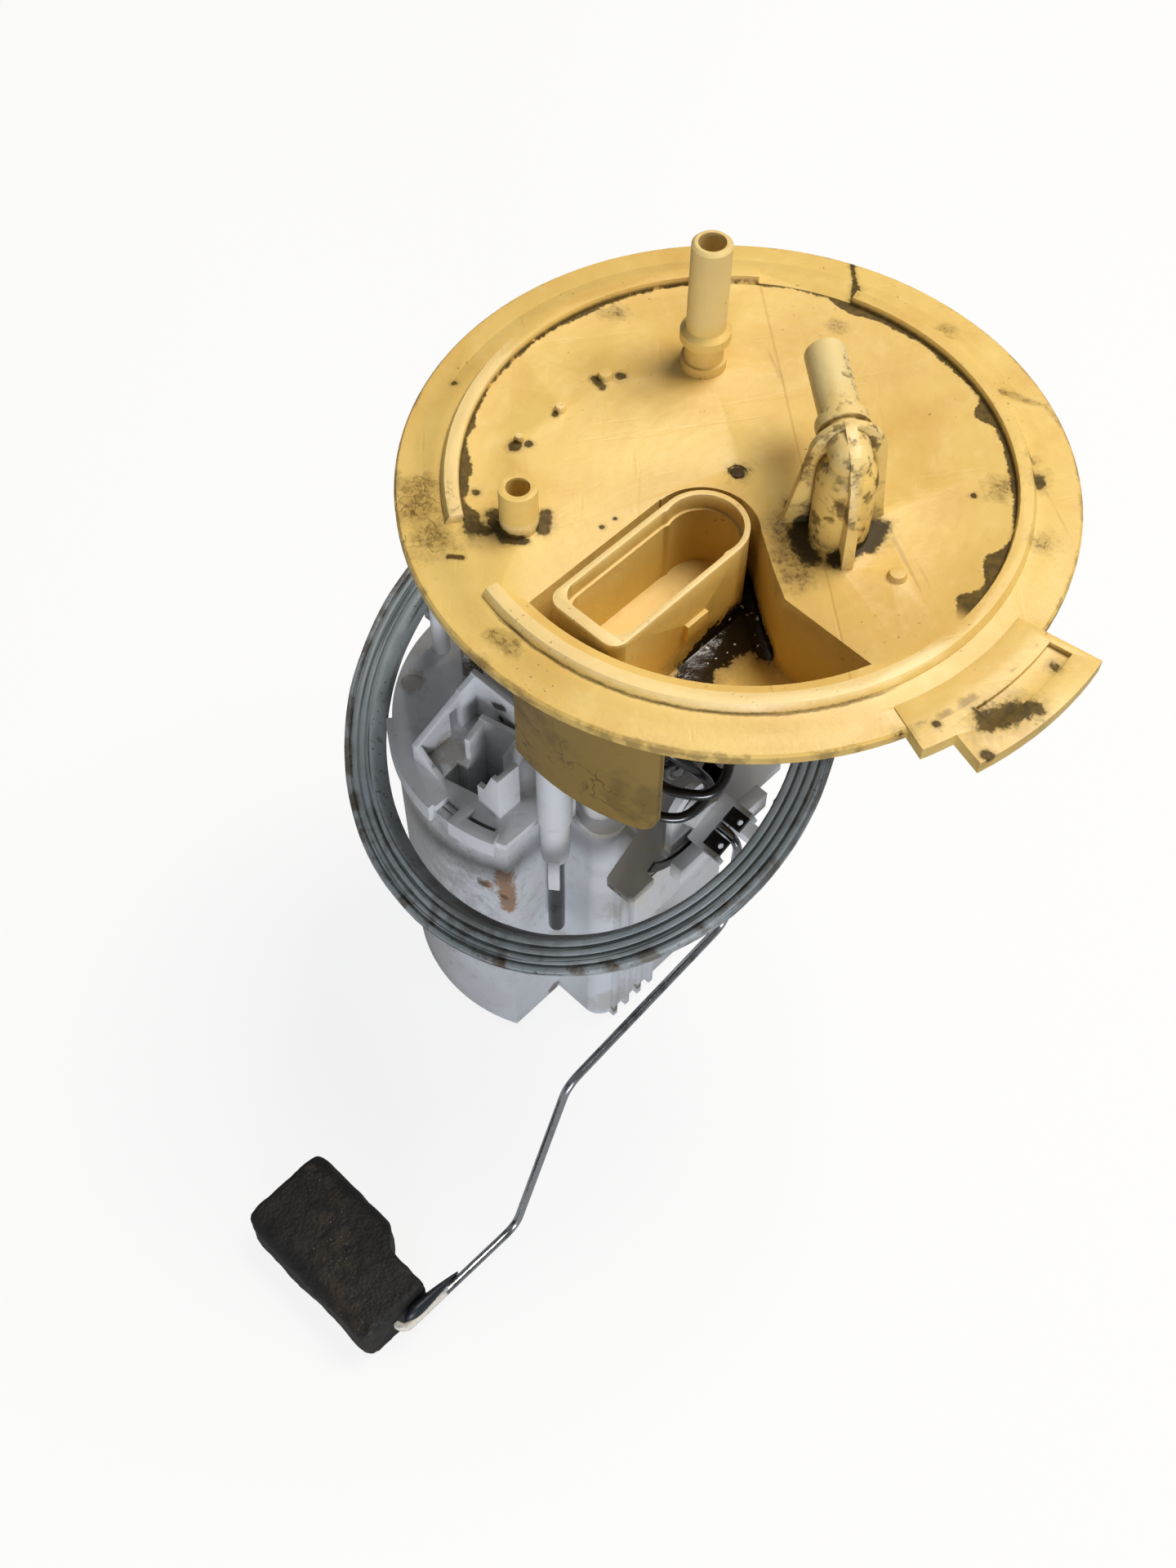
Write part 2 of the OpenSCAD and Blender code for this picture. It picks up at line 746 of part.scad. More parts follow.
module seal_ring() {
    inner = seal_r - seal_w;
    pitch = seal_w / (seal_grooves + 1);
    color("#7D8787")
        translate(seal_pos)
            rotate(seal_tilt)
                difference() {
                    rotate_extrude()
                        polygon([[inner - lip_w, -seal_t / 2], [inner - lip_w, -lip_drop],
                            [inner, seal_t / 2 - 0.4], [inner + 0.4, seal_t / 2],
                            [seal_r - 0.6, seal_t / 2], [seal_r, seal_t / 2 - 0.8],
                            [seal_r - 0.4, -seal_t / 2]]);
                    for (k = [1 : seal_grooves])
                        rotate_extrude()
                            translate([inner + pitch * k - groove_w / 2, seal_t / 2 - groove_deep])
                                square([groove_w, groove_deep + 1]);
                }
}

// plan of the pot, shrunk by g
module pot_plan(g) {
    difference() {
        intersection() {
            translate(pot_pos)
                circle(r = pot_r - g);
            translate([-100, -100])
                square([100 + pot_flat_x - g, 200]);
        }
        translate([notch_x - g, -100])
            square([60, 100 + notch_y + g]);
        difference() {
            translate([pot_flat_x - pot_corner, notch_y + pot_corner - 60])
                square([60, 60]);
            translate([pot_flat_x - pot_corner, notch_y + pot_corner])
                circle(r = pot_corner - g);
        }
    }
}

module reservoir_pot() {
    color("#DADDE0")
        difference() {
            union() {
                translate([0, 0, pot_bottom + foot_h])
                    linear_extrude(pot_h - foot_h)
                        pot_plan(0);
                for (a = foot_angles)
                    translate([pot_pos[0] + foot_ring * cos(a), pot_pos[1] + foot_ring * sin(a), pot_bottom])
                        cylinder(r = foot_r, h = foot_h + 1);
                for (y = rib_y)
                    translate([pot_flat_x - 1, y - rib_w / 2, pot_bottom + rib_low])
                        cube([1 + rib_out, rib_w, pot_h - rib_short - rib_low]);
            }
            translate([0, 0, pot_floor])
                linear_extrude(pot_h)
                    pot_plan(pot_wall);
            // stem hole and inlet ports of the foot valve
            translate([port_pos[0], port_pos[1], pot_bottom - 1]) {
                cylinder(r = port_r, h = 10);
                for (a = [45 : 90 : 315])
                    rotate([0, 0, a])
                        translate([port_ring, 0, 0])
                            cylinder(r = port_r, h = 10);
            }
        }
}

// children placed in the lid's turned socket
module at_socket() {
    translate([sock_pos[0], sock_pos[1], 0])
        rotate([0, 0, sock_turn])
            children();
}

// raised tray on the lid, the walls round its socket and the post beside it
module lid_tray() {
    base = deck_top - eps;
    difference() {
        translate([tray_x[0], 0, base])
            rotate([90, 0, 90])
                linear_extrude(tray_wall)
                    polygon([[tray_y[0], 0], [tray_y[1], 0], [tray_y[1], tray_rise_back],
                        [tray_y[1] - 6, tray_rise_back - 2.2], [tray_y[1] - 6.4, tray_rise_back - 2.9],
                        [tray_y[0], tray_rise_front]]);
        translate([tray_x[0] - 1, window_y[0], deck_top])
            cube([tray_wall + 2, window_y[1] - window_y[0], window_rise]);
    }
    translate([tray_x[0], tray_y[1] - tray_wall, base])
        cube([tray_x[1] - tray_x[0], tray_wall, tray_rise_back]);
    translate([tray_x[0], tray_y[0] + tray_wall, base])
        rotate([90, 0, 0])
            linear_extrude(tray_wall)
                polygon([[0, 0], [tray_front, 0], [tray_front / 2, tray_rise_front * 0.45],
                    [tray_wall, tray_rise_front - 0.4], [0, tray_rise_front]]);
    at_socket() {
        translate([-sock_half[0] - sock_wall, sock_half[1], base])
            cube([2 * (sock_half[0] + sock_wall), sock_wall, sock_rise]);
        translate([sock_half[0], sock_half[1] - sock_side, base])
            cube([sock_wall, sock_side + sock_wall, sock_rise]);
        translate([-sock_half[0] - sock_wall, sock_half[1] - sock_side, base])
            cube([sock_wall, sock_side + sock_wall, sock_rise - 0.5]);
        translate([-sock_half[0] - sock_ear - sock_wall, -sock_half[1] - sock_wall, deck_top - sock_deep])
            cube([2 * (sock_half[0] + sock_wall) + sock_ear, 2 * (sock_half[1] + sock_wall),
                sock_deep]);
    }
    translate([post_x[1] - sock_wall, post_y[0], base])
        cube([sock_wall, post_y[1] - post_y[0], post_rise]);
    translate([post_x[0], post_y[0] + sock_wall, base])
        rotate([90, 0, 0])
            linear_extrude(sock_wall)
                polygon([[0, 0], [post_x[1] - post_x[0], 0], [post_x[1] - post_x[0], post_rise],
                    [post_x[1] - post_x[0] - 2, post_rise],
                    [post_x[1] - post_x[0] - 4.7, post_rise - 7.6], [0, post_rise - 7.9]]);
}

// well of the socket, open at the deck
module socket_well() {
    at_socket()
        translate([0, 0, deck_top - sock_deep + sock_wall]) {
            translate([-sock_half[0], -sock_half[1], 0])
                cube([2 * sock_half[0], 2 * sock_half[1], sock_deep - sock_wall + 0.5]);
            translate([-sock_half[0] - sock_ear, -sock_half[1], 0])
                cube([sock_ear + eps, sock_half[1] - 1, sock_deep - sock_wall + 0.5]);
        }
}

// guide sleeve around a rod, its lower end necked
module sleeve(p, tongue) {
    translate([p[0], p[1], 0]) {
        translate([0, 0, sleeve_neck])
            cylinder(r = sleeve_r, h = sleeve_top - sleeve_neck);
        translate([0, 0, sleeve_bottom])
            cylinder(r1 = sleeve_r - 0.8, r2 = sleeve_r - neck_cut, h = 3);
        translate([0, 0, sleeve_bottom + 3 - eps])
            cylinder(r = sleeve_r - neck_cut, h = sleeve_neck - sleeve_bottom - 3 + 2 * eps);
        if (tongue)
            rotate([0, 0, -53])
                translate([rod_r + 0.2, -tongue_w / 2, tongue_low])
                    cube([1.2, tongue_w, sleeve_bottom - tongue_low + 2]);
    }
}

module holder_lid() {
    color("#DDE0E3")
        difference() {
            union() {
                translate([0, 0, pot_top])
                    linear_extrude(deck_t)
                        pot_plan(0);
                // locating wall inside the pot
                difference() {
                    translate([0, 0, pot_top - 4])
                        linear_extrude(5)
                            pot_plan(pot_wall + fit);
                    translate([0, 0, pot_top - 5])
                        linear_extrude(7)
                            pot_plan(pot_wall + fit + skirt_t);
                }
                // outer skirt and the springy clip beside it
                translate([pot_pos[0], pot_pos[1], deck_top - skirt_drop])
                    arc_wall(pot_r + 0.02, pot_r + skirt_t, skirt_drop, skirt_span);
                translate([pot_pos[0], pot_pos[1], pot_top])
                    arc_wall(pot_r - 1, pot_r + skirt_t, deck_t, skirt_span);
                translate([pot_pos[0], pot_pos[1], deck_top - clip_drop])
                    arc_wall(pot_r + 0.02, pot_r + skirt_t, clip_drop + clip_rise, clip_span);
                translate([pot_pos[0], pot_pos[1], pot_top])
                    arc_wall(clip_in_r, pot_r + skirt_t, deck_t + clip_rise, clip_span);
                translate([pot_pos[0], pot_pos[1], pot_top])
                    arc_wall(clip_groove_r - 1.5, pot_r + skirt_t, deck_t + clip_rise,
                        [clip_span[0], clip_span[0] + clip_end]);
                lid_tray();
                sleeve(rod_front, true);
                sleeve(rod_rear, false);
                translate([rod_front[0] - 1.1, notch_y - 2.5, pot_top])
                    cube([2.2, 3.5, 20]);
                translate([duct_pos[0], duct_pos[1], deck_top - eps])
                    cylinder(r = duct_r, h = duct_h);
                translate([pump_pos[0], pump_pos[1], rubber_low + 2])
                    cylinder(r = pump_r + rubber_t + holder_ring, h = holder_ring_top - rubber_low - 2);
                translate([column_pos[0], column_pos[1], deck_top - eps])
                    cylinder(r = column_r, h = column_h);
                lid_rest(rest_pad[0]);
                translate([jet_pos[0], jet_pos[1], deck_top - eps])
                    cylinder(r = jet_r + 2, h = 4);
            }
            translate([pump_pos[0], pump_pos[1], -110])
                cylinder(r = pump_r + rubber_t, h = 60);
            for (p = [rod_front, rod_rear])
                translate([p[0], p[1], -120])
                    cylinder(r = rod_r + rod_gap, h = 90);
            translate([jet_pos[0], jet_pos[1], -120])
                cylinder(r = jet_r, h = 60);
            socket_well();
            // notch beside the clip and the groove behind it
            translate([pot_pos[0], pot_pos[1], pot_top])
                arc_wall(clip_groove_r - 0.5, pot_r + 3, deck_t + 1, clip_notch);
            translate([pot_pos[0], pot_pos[1], pot_top])
                arc_wall(clip_groove_r, clip_in_r, deck_t + 1 + clip_rise,
                    [clip_span[0] + clip_end, clip_span[1] - 2]);
            translate([dimple_pos[0], dimple_pos[1], deck_top - 0.8])
                cylinder(r = dimple_r, h = 2);
        }
}

// lug on the lid that the loose seal ring lies on
module lid_rest(p) {
    translate([p[0] - 1, p[1] - 3, deck_top - deck_t])
        cube([8, 6, 3]);
    translate([p[0] - 1, p[1] - 1.5, deck_top - deck_t])
        cube([2.4, 3, ring_under(p[0] - 1, p[1] - 1.5) - deck_top + deck_t]);
}

// electric pump

module at_pump(z) {
    translate([pump_pos[0], pump_pos[1], z])
        children();
}

module pump_rubber() {
    color("#2B2C2E")
        at_pump(rubber_low)
            pipe(pump_r + rubber_t, pump_r, rubber_top - rubber_low);
}

module pump_can() {
    color("#A9ACAE")
        at_pump(can_bottom)
            difference() {
                cylinder(r = pump_r, h = can_top - can_bottom);
                translate([0, 0, 1])
                    cylinder(r = inner_r, h = can_top - can_bottom);
                translate([0, 0, -1])
                    cylinder(r = inner_r - 1.2, h = 4);
            }
}

module pump_inlet_cover() {
    color("#B9BBBC")
        at_pump(can_bottom + 1)
            difference() {
                union() {
                    cylinder(r = inner_r, h = inlet_t);
                    translate([9, 0, -5])
                        cylinder(r = inlet_r, h = 6);
                }
                translate([9, 0, -6])
                    cylinder(r = inlet_bore, h = inlet_t + 8);
                translate([0, 0, 1.5])
                    cylinder(r = shaft_r + shaft_gap, h = inlet_t);
            }
}

module pump_chamber() {
    depth = wheel_t + 2 * wheel_gap;
    color("#B2B4B5")
        at_pump(chamber_floor)
            difference() {
                cylinder(r = inner_r, h = depth + chamber_t);
                translate([0, 0, -1])
                    cylinder(r = wheel_r + wheel_gap, h = depth + 1);
                translate([0, 0, -1])
                    cylinder(r = shaft_r + shaft_gap, h = depth + chamber_t + 2);
                rotate([0, 0, 120])
                    translate([10, 0, -1])
                        cylinder(r = 2.2, h = depth + chamber_t + 2);
            }
}

module impeller() {
    color("#5A4A3A")
        at_pump(chamber_floor + wheel_gap)
            difference() {
                cylinder(r = wheel_r, h = wheel_t);
                translate([0, 0, -1])
                    cylinder(r = shaft_r, h = wheel_t + 2);
                for (k = [0 : wheel_vanes - 1])
                    rotate([0, 0, 360 * k / wheel_vanes])
                        translate([wheel_r - wheel_vane_deep, -0.6, -1])
                            cube([5, 1.2, wheel_t + 2]);
            }
}

module motor_magnets() {
    color("#4A4C50")
        at_pump(magnet_z[0])
            for (a = [0, 180])
                rotate([0, 0, a])
                    arc_wall(inner_r - magnet_t, inner_r, magnet_z[1] - magnet_z[0], [-65, 65]);
}

module motor_shaft() {
    color("#C2C4C6")
        at_pump(shaft_low)
            cylinder(r = shaft_r, h = shaft_top - shaft_low);
}

module armature() {
    h = rotor_z[1] - rotor_z[0];
    color("#8C5A3C")
        at_pump(rotor_z[0])
            difference() {
                cylinder(r = rotor_r, h = h);
                translate([0, 0, -1])
                    cylinder(r = shaft_r, h = h + 2);
                for (k = [0 : rotor_slots - 1])
                    rotate([0, 0, 360 * k / rotor_slots])
                        translate([rotor_r - slot_deep, -slot_w / 2, -1])
                            cube([slot_deep + 1, slot_w, h + 2]);
            }
}

module commutator() {
    h = comm_z[1] - comm_z[0];
    color("#B87840")
        at_pump(comm_z[0])
            difference() {
                cylinder(r = comm_r, h = h);
                translate([0, 0, -1])
                    cylinder(r = shaft_r, h = h + 2);
                for (k = [0 : comm_bars - 1])
                    rotate([0, 0, 360 * k / comm_bars + 22])
                        translate([comm_r - 0.7, -0.25, -1])
                            cube([2, 0.5, h + 2]);
            }
}

module motor_brushes() {
    color("#33343A")
        at_pump((comm_z[0] + comm_z[1]) / 2)
            for (a = [90, 270])
                rotate([0, 0, a])
                    difference() {
                        translate([comm_r - 1.2, -brush_size[1] / 2, -brush_size[2] / 2])
                            cube([brush_size[0] + 1.2, brush_size[1], brush_size[2] + 3]);
                        translate([0, 0, -10])
                            cylinder(r = comm_r + brush_gap, h = 20);
                    }
}

module pump_outlet_cap() {
    color("#34363A")
        at_pump(0)
            difference() {
                union() {
                    translate([0, 0, cap_low])
                        cylinder(r = inner_r, h = can_top - cap_low);
                    translate([0, 0, can_top - eps])
                        cylinder(r = inner_r - 1.2, h = cap_top - can_top);
                    translate([outlet_off[0], outlet_off[1], cap_top - 1])
                        cylinder(r = outlet_r, h = 8);
                    translate([outlet_off[0], outlet_off[1], outlet_top])
                        barb_up();
                    for (t = term_off)
                        translate([t[0], t[1], cap_top - 1])
                            cylinder(r = 2, h = 5);
                }
                // motor chamber under the cap, bearing and brush wells
                translate([0, 0, cap_low - 1])
                    cylinder(r = comm_r + 3, h = 4);
                translate([0, 0, cap_low - 1])
                    cylinder(r = shaft_r + shaft_gap, h = shaft_top - cap_low + 1.6);
                for (a = [90, 270])
                    rotate([0, 0, a])
                        translate([comm_r - 1.2, -brush_size[1] / 2 - fit, cap_low - 1])
                            cube([brush_size[0] + 1.5, brush_size[1] + 2 * fit, 5]);
                translate([outlet_off[0], outlet_off[1], valve_seat_z])
                    cylinder(r = valve_bore_r, h = outlet_top - valve_seat_z - 4);
                translate([outlet_off[0], outlet_off[1], cap_low - 1])
                    cylinder(r = valve_seat_r, h = 40);
            }
}

// barbed hose end pointing up to z = 0
module barb_up() {
    translate([0, 0, -14])
        cylinder(r = barb_r, h = 14);
    for (k = [0 : 2])
        translate([0, 0, -3.4 - 3.2 * k])
            cylinder(r1 = barb_r + barb_step, r2 = barb_r - 0.5, h = 2.2);
}

module check_poppet() {
    color("#C8B48C")
        at_pump(valve_seat_z + 0.1)
            translate([outlet_off[0], outlet_off[1], 0]) {
                cylinder(r1 = poppet_r - 0.8, r2 = poppet_r, h = 1.2);
                translate([0, 0, 1.2 - eps])
                    cylinder(r = poppet_r, h = poppet_h - 1.2);
            }
}

module check_spring() {
    low = valve_seat_z + 0.1 + poppet_h + 0.1;
    color("#B8BABC")
        translate([pump_pos[0] + outlet_off[0], pump_pos[1] + outlet_off[1], 0])
            coil(1.9, 0.5, low, outlet_top - 4 - 0.1, 5, 12);
}

module pump_strainer() {
    color("#E4E0D2")
        translate([pump_pos[0] + 9, pump_pos[1], 0])
            difference() {
                union() {
                    translate([-strainer_size[0] + 12, -strainer_size[1] / 2, pot_floor + 0.3])
                        linear_extrude(strainer_size[2])
                            round_rect(0, strainer_size[0] - 6, 0, strainer_size[1], strainer_round);
                    translate([0, 0, pot_floor + 0.3])
                        cylinder(r = inlet_r + 1.2, h = can_bottom - 0.4 - pot_floor);
                }
                translate([0, 0, can_bottom + 1 - 5 - 0.1])
                    cylinder(r = inlet_r, h = 20);
            }
}

module foot_valve() {
    color("#3A3F44")
        translate([port_pos[0], port_pos[1], 0]) {
            translate([0, 0, pot_floor])
                cylinder(r = valve_disc_r, h = valve_disc_t);
            translate([0, 0, pot_bottom + 0.4])
                cylinder(r = port_r, h = pot_floor - pot_bottom);
            translate([0, 0, pot_floor + valve_disc_t - eps])
                cylinder(r1 = 3, r2 = 1.6, h = 1.6);
        }
}

module jet_nozzle() {
    color("#C9CCCF")
        difference() {
            union() {
                translate([jet_pos[0], jet_pos[1], jet_low])
                    cylinder(r = jet_r, h = jet_top - jet_low);
                translate([jet_pos[0], jet_pos[1], jet_top - 12])
                    translate([0, 0, 12])
                        barb_up_small();
                translate([jet_pos[0], jet_pos[1], jet_low + 2.4])
                    rotate([0, -90, 30])
                        cylinder(r1 = 2.4, r2 = 1.2, h = 9);
            }
            translate([jet_pos[0], jet_pos[1], jet_low + 2.4])
                cylinder(r = 1.4, h = 200);
            translate([jet_pos[0], jet_pos[1], jet_low + 2.4])
                rotate([0, -90, 30])
                    cylinder(r = 0.5, h = 12);
        }
}

// small barbs for the return hose
module barb_up_small() {
    for (k = [0 : 1])
        translate([0, 0, -3.2 - 3.4 * k])
            cylinder(r1 = jet_r + 0.5, r2 = jet_r - 0.3, h = 2.4);
}

// hoses and leads

// corrugated hose along points
module corrugated(points, n, r) {
    p = curve(points, n);
    last = len(p) - 1;
    sweep(p, [for (i = [0 : last]) (i < 9 || i > last - 9) ? r - 0.1 : r + 0.45 * (i % 2)], 12);
}

module feed_hose() {
    color("#8A6A3A")
        difference() {
            corrugated(feed_pts, 12, hose_r);
            translate([feed_pts[0][0], feed_pts[0][1], -barb_len - 2])
                cylinder(r = hose_in, h = 30);
            translate([feed_pts[6][0], feed_pts[6][1], -90])
                cylinder(r = hose_in, h = 90 + outlet_top + 1);
        }
}

module return_hose() {
    color("#8F6B2E")
        difference() {
            corrugated(return_pts, 10, hose_r - 0.1);
            translate([return_pts[0][0], return_pts[0][1], -barb_len - 2])
                cylinder(r = hose_in - 0.05, h = 30);
            translate([jet_pos[0], jet_pos[1], jet_top - 17])
                cylinder(r = jet_r + 0.5, h = 18);
        }
}

module flange_plug() {
    color("#26282B")
        translate([conn_x - plug_size[0] / 2, plug_y - plug_size[1] / 2, plug_top - plug_size[2] + 3])
            difference() {
                cube(plug_size);
                for (y = blade_y)
                    translate([plug_size[0] / 2 + blade_x - conn_x - blade_t / 2 - 0.1,
                        y - blade_w / 2 - 0.1 - (plug_y - plug_size[1] / 2), 3])
                        cube([blade_t + 0.2, blade_w + 0.2, plug_size[2]]);
            }
}

module lead(points) {
    p = curve(points, 6);
    sweep(p, [for (i = [0 : len(p) - 1]) lead_r], 8);
}

module pump_leads() {
    color("#1C1D1F") {
        lead(pump_lead_a);
        lead(pump_lead_b);
    }
}

module level_leads() {
    color("#222326") {
        lead(level_lead_a);
        lead(level_lead_b);
    }
}

// level sender

module sender_frame() {
    wall = pot_flat_x + 0.02;
    color("#D9DBD8")
        difference() {
            union() {
                // shelf level with the deck, narrower towards the front
                translate([0, 0, shelf_top - shelf_t])
                    linear_extrude(shelf_t)
                        polygon([[wall, shelf_y[1]], [wall, -29.8], [wall + 3.3, -30.4],
                            [wall + 6.4, shelf_y[0] + 0.6], [wall + 7.2, shelf_y[0]],
                            [shelf_x - 0.9, shelf_y[0]], [shelf_x, shelf_y[0] + 1],
                            [shelf_x, shelf_y[1]]]);
                translate([plate_x[0], plate_y[0], plate_low])
                    cube([plate_x[1] - plate_x[0], plate_y[1] - plate_y[0], shelf_top - plate_low]);
                // ear that carries the pivot pin
                translate([plate_x[0], pivot_y, pivot_z])
                    rotate([0, 90, 0])
                        cylinder(r = ear_r, h = plate_x[1] - plate_x[0]);
                translate([plate_x[0], pivot_y - ear_r, shelf_top - 1])
                    cube([plate_x[1] - plate_x[0], 2 * ear_r, pivot_z - shelf_top + 1]);
                translate([plate_x[1] - 1, pivot_y, pivot_z])
                    rotate([0, 90, 0])
                        cylinder(r = pin_r, h = pin_end - plate_x[1] + 1);
                // guard bar outside the card and its root on the shelf
                translate([guard_x[0], guard_y[0], shelf_top - shelf_t])
                    cube([guard_x[1] - guard_x[0], guard_y[1] - guard_y[0],
                        guard_z - shelf_top + shelf_t]);
                translate([shelf_x - 1, guard_y[1] - guard_root, shelf_top - shelf_t])
                    cube([guard_x[1] - shelf_x + 1, guard_root, shelf_t]);
                // clip rails on the pot
                for (y = [rib_y[0] + 2.25, rib_y[3] + 3.2])
                    translate([wall, y - 1, -112])
                        cube([plate_x[0] - wall + 0.5, 2, shelf_top - shelf_t + 113]);
                // terminal block
                translate([3.6, -4.4, shelf_top - 1])
                    cube([4.2, 9, term_block_h + 1]);
                // bracket that the loose seal ring lies on
                translate([shelf_x - 1, rest_pad[1][1] - rest_w / 2, shelf_top - shelf_t])
                    cube([rest_pad[1][0] + rest_t / 2 - shelf_x + 1, rest_w, shelf_t]);
                translate([rest_pad[1][0] - rest_t / 2, rest_pad[1][1] - rest_w / 2, shelf_top - shelf_t])
                    cube([rest_t, rest_w, ring_under(rest_pad[1][0] - rest_t / 2,
                        rest_pad[1][1] - rest_w / 2) - shelf_top + shelf_t]);
            }
            // opening that the card stands in and the wiper swings through
            translate([plate_x[1] + 0.02, slot_y[0], shelf_top - shelf_t - 1])
                cube([guard_x[0] - fit - plate_x[1] - 0.02, slot_y[1] - slot_y[0], shelf_t + 2]);
        }
}

module resistor_card() {
    color("#3B3A36")
        translate([plate_x[1] + card_gap, pivot_y, pivot_z])
            rotate([0, 90, 0])
                arc_wall(card_r[0], card_r[1], card_t, [-card_span[1], -card_span[0]]);
}

module sender_terminals() {
    color("#B9BBBD")
        for (y = [-2, 2])
            translate([5.6, y, shelf_top + term_block_h])
                cylinder(r = 1.2, h = 1.2);
}

// children turned with the yoke about the pivot
module at_yoke() {
    translate([0, pivot_y, pivot_z])
        rotate([claw_tilt, 0, 0])
            children();
}

module arm_hub() {
    color("#E3E5E6")
        difference() {
            union() {
                translate([hub_x[0], pivot_y, pivot_z])
                    rotate([0, 90, 0])
                        cylinder(r = hub_r, h = hub_x[1] - hub_x[0]);
                at_yoke() {
                    translate([claw_x[0], -claw_half, claw_z[0]])
                        cube([claw_x[1] - claw_x[0], 2 * claw_half, claw_z[1] - claw_z[0]]);
                    for (s = [-1, 1])
                        translate([claw_x[1] - eps, s * (claw_half - claw_t / 2) - claw_t / 2,
                            claw_z[0] + 1])
                            cube([claw_x[2] - claw_x[1] + eps, claw_t, claw_z[1] - claw_z[0] - 1]);
                }
            }
            translate([plate_x[1], pivot_y, pivot_z])
                rotate([0, 90, 0])
                    cylinder(r = pin_r + pin_gap, h = pin_end - plate_x[1] + fit);
            translate([arm_pts[0][0], pivot_y, pivot_z])
                rotate([0, 90, 0])
                    cylinder(r = wire_r, h = 20);
        }
}

module wiper() {
    card_face = plate_x[1] + card_gap + card_t + 0.02;
    side = claw_half - claw_t - contact_in;
    color("#2A2B2C") {
        difference() {
            union() {
                translate([wiper_x, pivot_y - wiper_w / 2, pivot_z - wiper_r])
                    cube([wiper_t, wiper_w, wiper_r - hub_r + 0.6]);
                translate([card_face, pivot_y - 1, pivot_z - wiper_r])
                    cube([wiper_x - card_face + eps, 2, 1]);
            }
            translate([0, pivot_y, pivot_z])
                rotate([0, 90, 0])
                    cylinder(r = hub_r, h = 40);
        }
        at_yoke()
            for (s = [0, 1])
                mirror([0, s, 0])
                    translate([claw_x[1], contact_in, claw_z[1] - 0.8 - contact_t])
                        difference() {
                            cube([contact_tip - claw_x[1], side, contact_t]);
                            translate([contact_tip - claw_x[1] - 1.1, side / 2, -1])
                                cylinder(r = 0.7, h = contact_t + 2);
                        }
    }
}

// points along a wire with a round bend at each corner
function bend_points(p, q, s, bend) =
    let (u = unit(q - p), v = unit(s - q), turn = acos(u * v), cut = bend * tan(turn / 2),
        side = unit(v - (v * u) * u), c = q - cut * u + bend * side)
        [for (k = [0 : bend_steps])
            let (a = turn * k / bend_steps) c + bend * (sin(a) * u - cos(a) * side)];
function bent_wire(p, bend) = [
    p[0],
    for (i = [1 : len(p) - 2]) each bend_points(p[i - 1], p[i], p[i + 1], bend),
    p[len(p) - 1]];

module float_arm() {
    color("#AEB2B6")
        let (p = bent_wire(arm_pts, arm_bend))
            sweep(p, [for (i = [0 : len(p) - 1]) wire_r], 12);
}

module float_clip() {
    x0 = float_end_x + 0.02;
    color("#2F363E")
        difference() {
            translate([x0, 0, arm_pts[5][2]])
                rotate([90, 0, 90])
                    linear_extrude(arm_x - x0)
                        polygon([[clip_y[0], -clip_half], [clip_y[0] + 8, -clip_half], [clip_y[1], -1.4],
                            [clip_y[1], 0.6], [clip_y[0] + 9, clip_half], [clip_y[0], clip_half]]);
            let (d = arm_pts[5] - arm_pts[4])
                translate(arm_pts[4])
                    rotate([acos(d[2] / norm(d)), 0, 0])
                        cylinder(r = wire_r, h = norm(d));
        }
}

module float_block() {
    x0 = float_end_x - float_l;
    color("#1E1D1C")
        intersection() {
            translate([x0, 0, 0])
                rotate([90, 0, 90])
                    linear_extrude(float_l)
                        round_rect(float_front_y, float_front_y + float_w, float_low, float_low + float_t,
                            float_round);
            translate([0, 0, float_low - 1])
                linear_extrude(float_t + 2)
                    difference() {
                        round_rect(x0, float_end_x, float_front_y, float_front_y + float_w, 2.6);
                        polygon([[float_step_x - 6, float_front_y + float_w + 1],
                            [float_step_x - 3, float_front_y + float_w - 1.2],
                            [float_step_x + 1, float_front_y + float_w - float_step],
                            [float_end_x + 1, float_front_y + float_w - float_step],
                            [float_end_x + 1, float_front_y + float_w + 1]]);
                    }
        }
}

flange_cover();
connector_terminals();
guide_rod_front();
guide_rod_rear();
spring_front();
spring_rear();
seal_ring();
reservoir_pot();
holder_lid();
pump_rubber();
pump_can();
pump_inlet_cover();
pump_chamber();
impeller();
motor_magnets();
motor_shaft();
armature();
commutator();
motor_brushes();
pump_outlet_cap();
check_poppet();
check_spring();
pump_strainer();
foot_valve();
jet_nozzle();
feed_hose();
return_hose();
flange_plug();
pump_leads();
level_leads();
sender_frame();
resistor_card();
sender_terminals();
arm_hub();
wiper();
float_arm();
float_clip();
float_block();
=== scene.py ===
import json
import math

import bmesh
import bpy
from bpy.props import FloatProperty, PointerProperty, StringProperty
from mathutils import Euler, Matrix, Vector


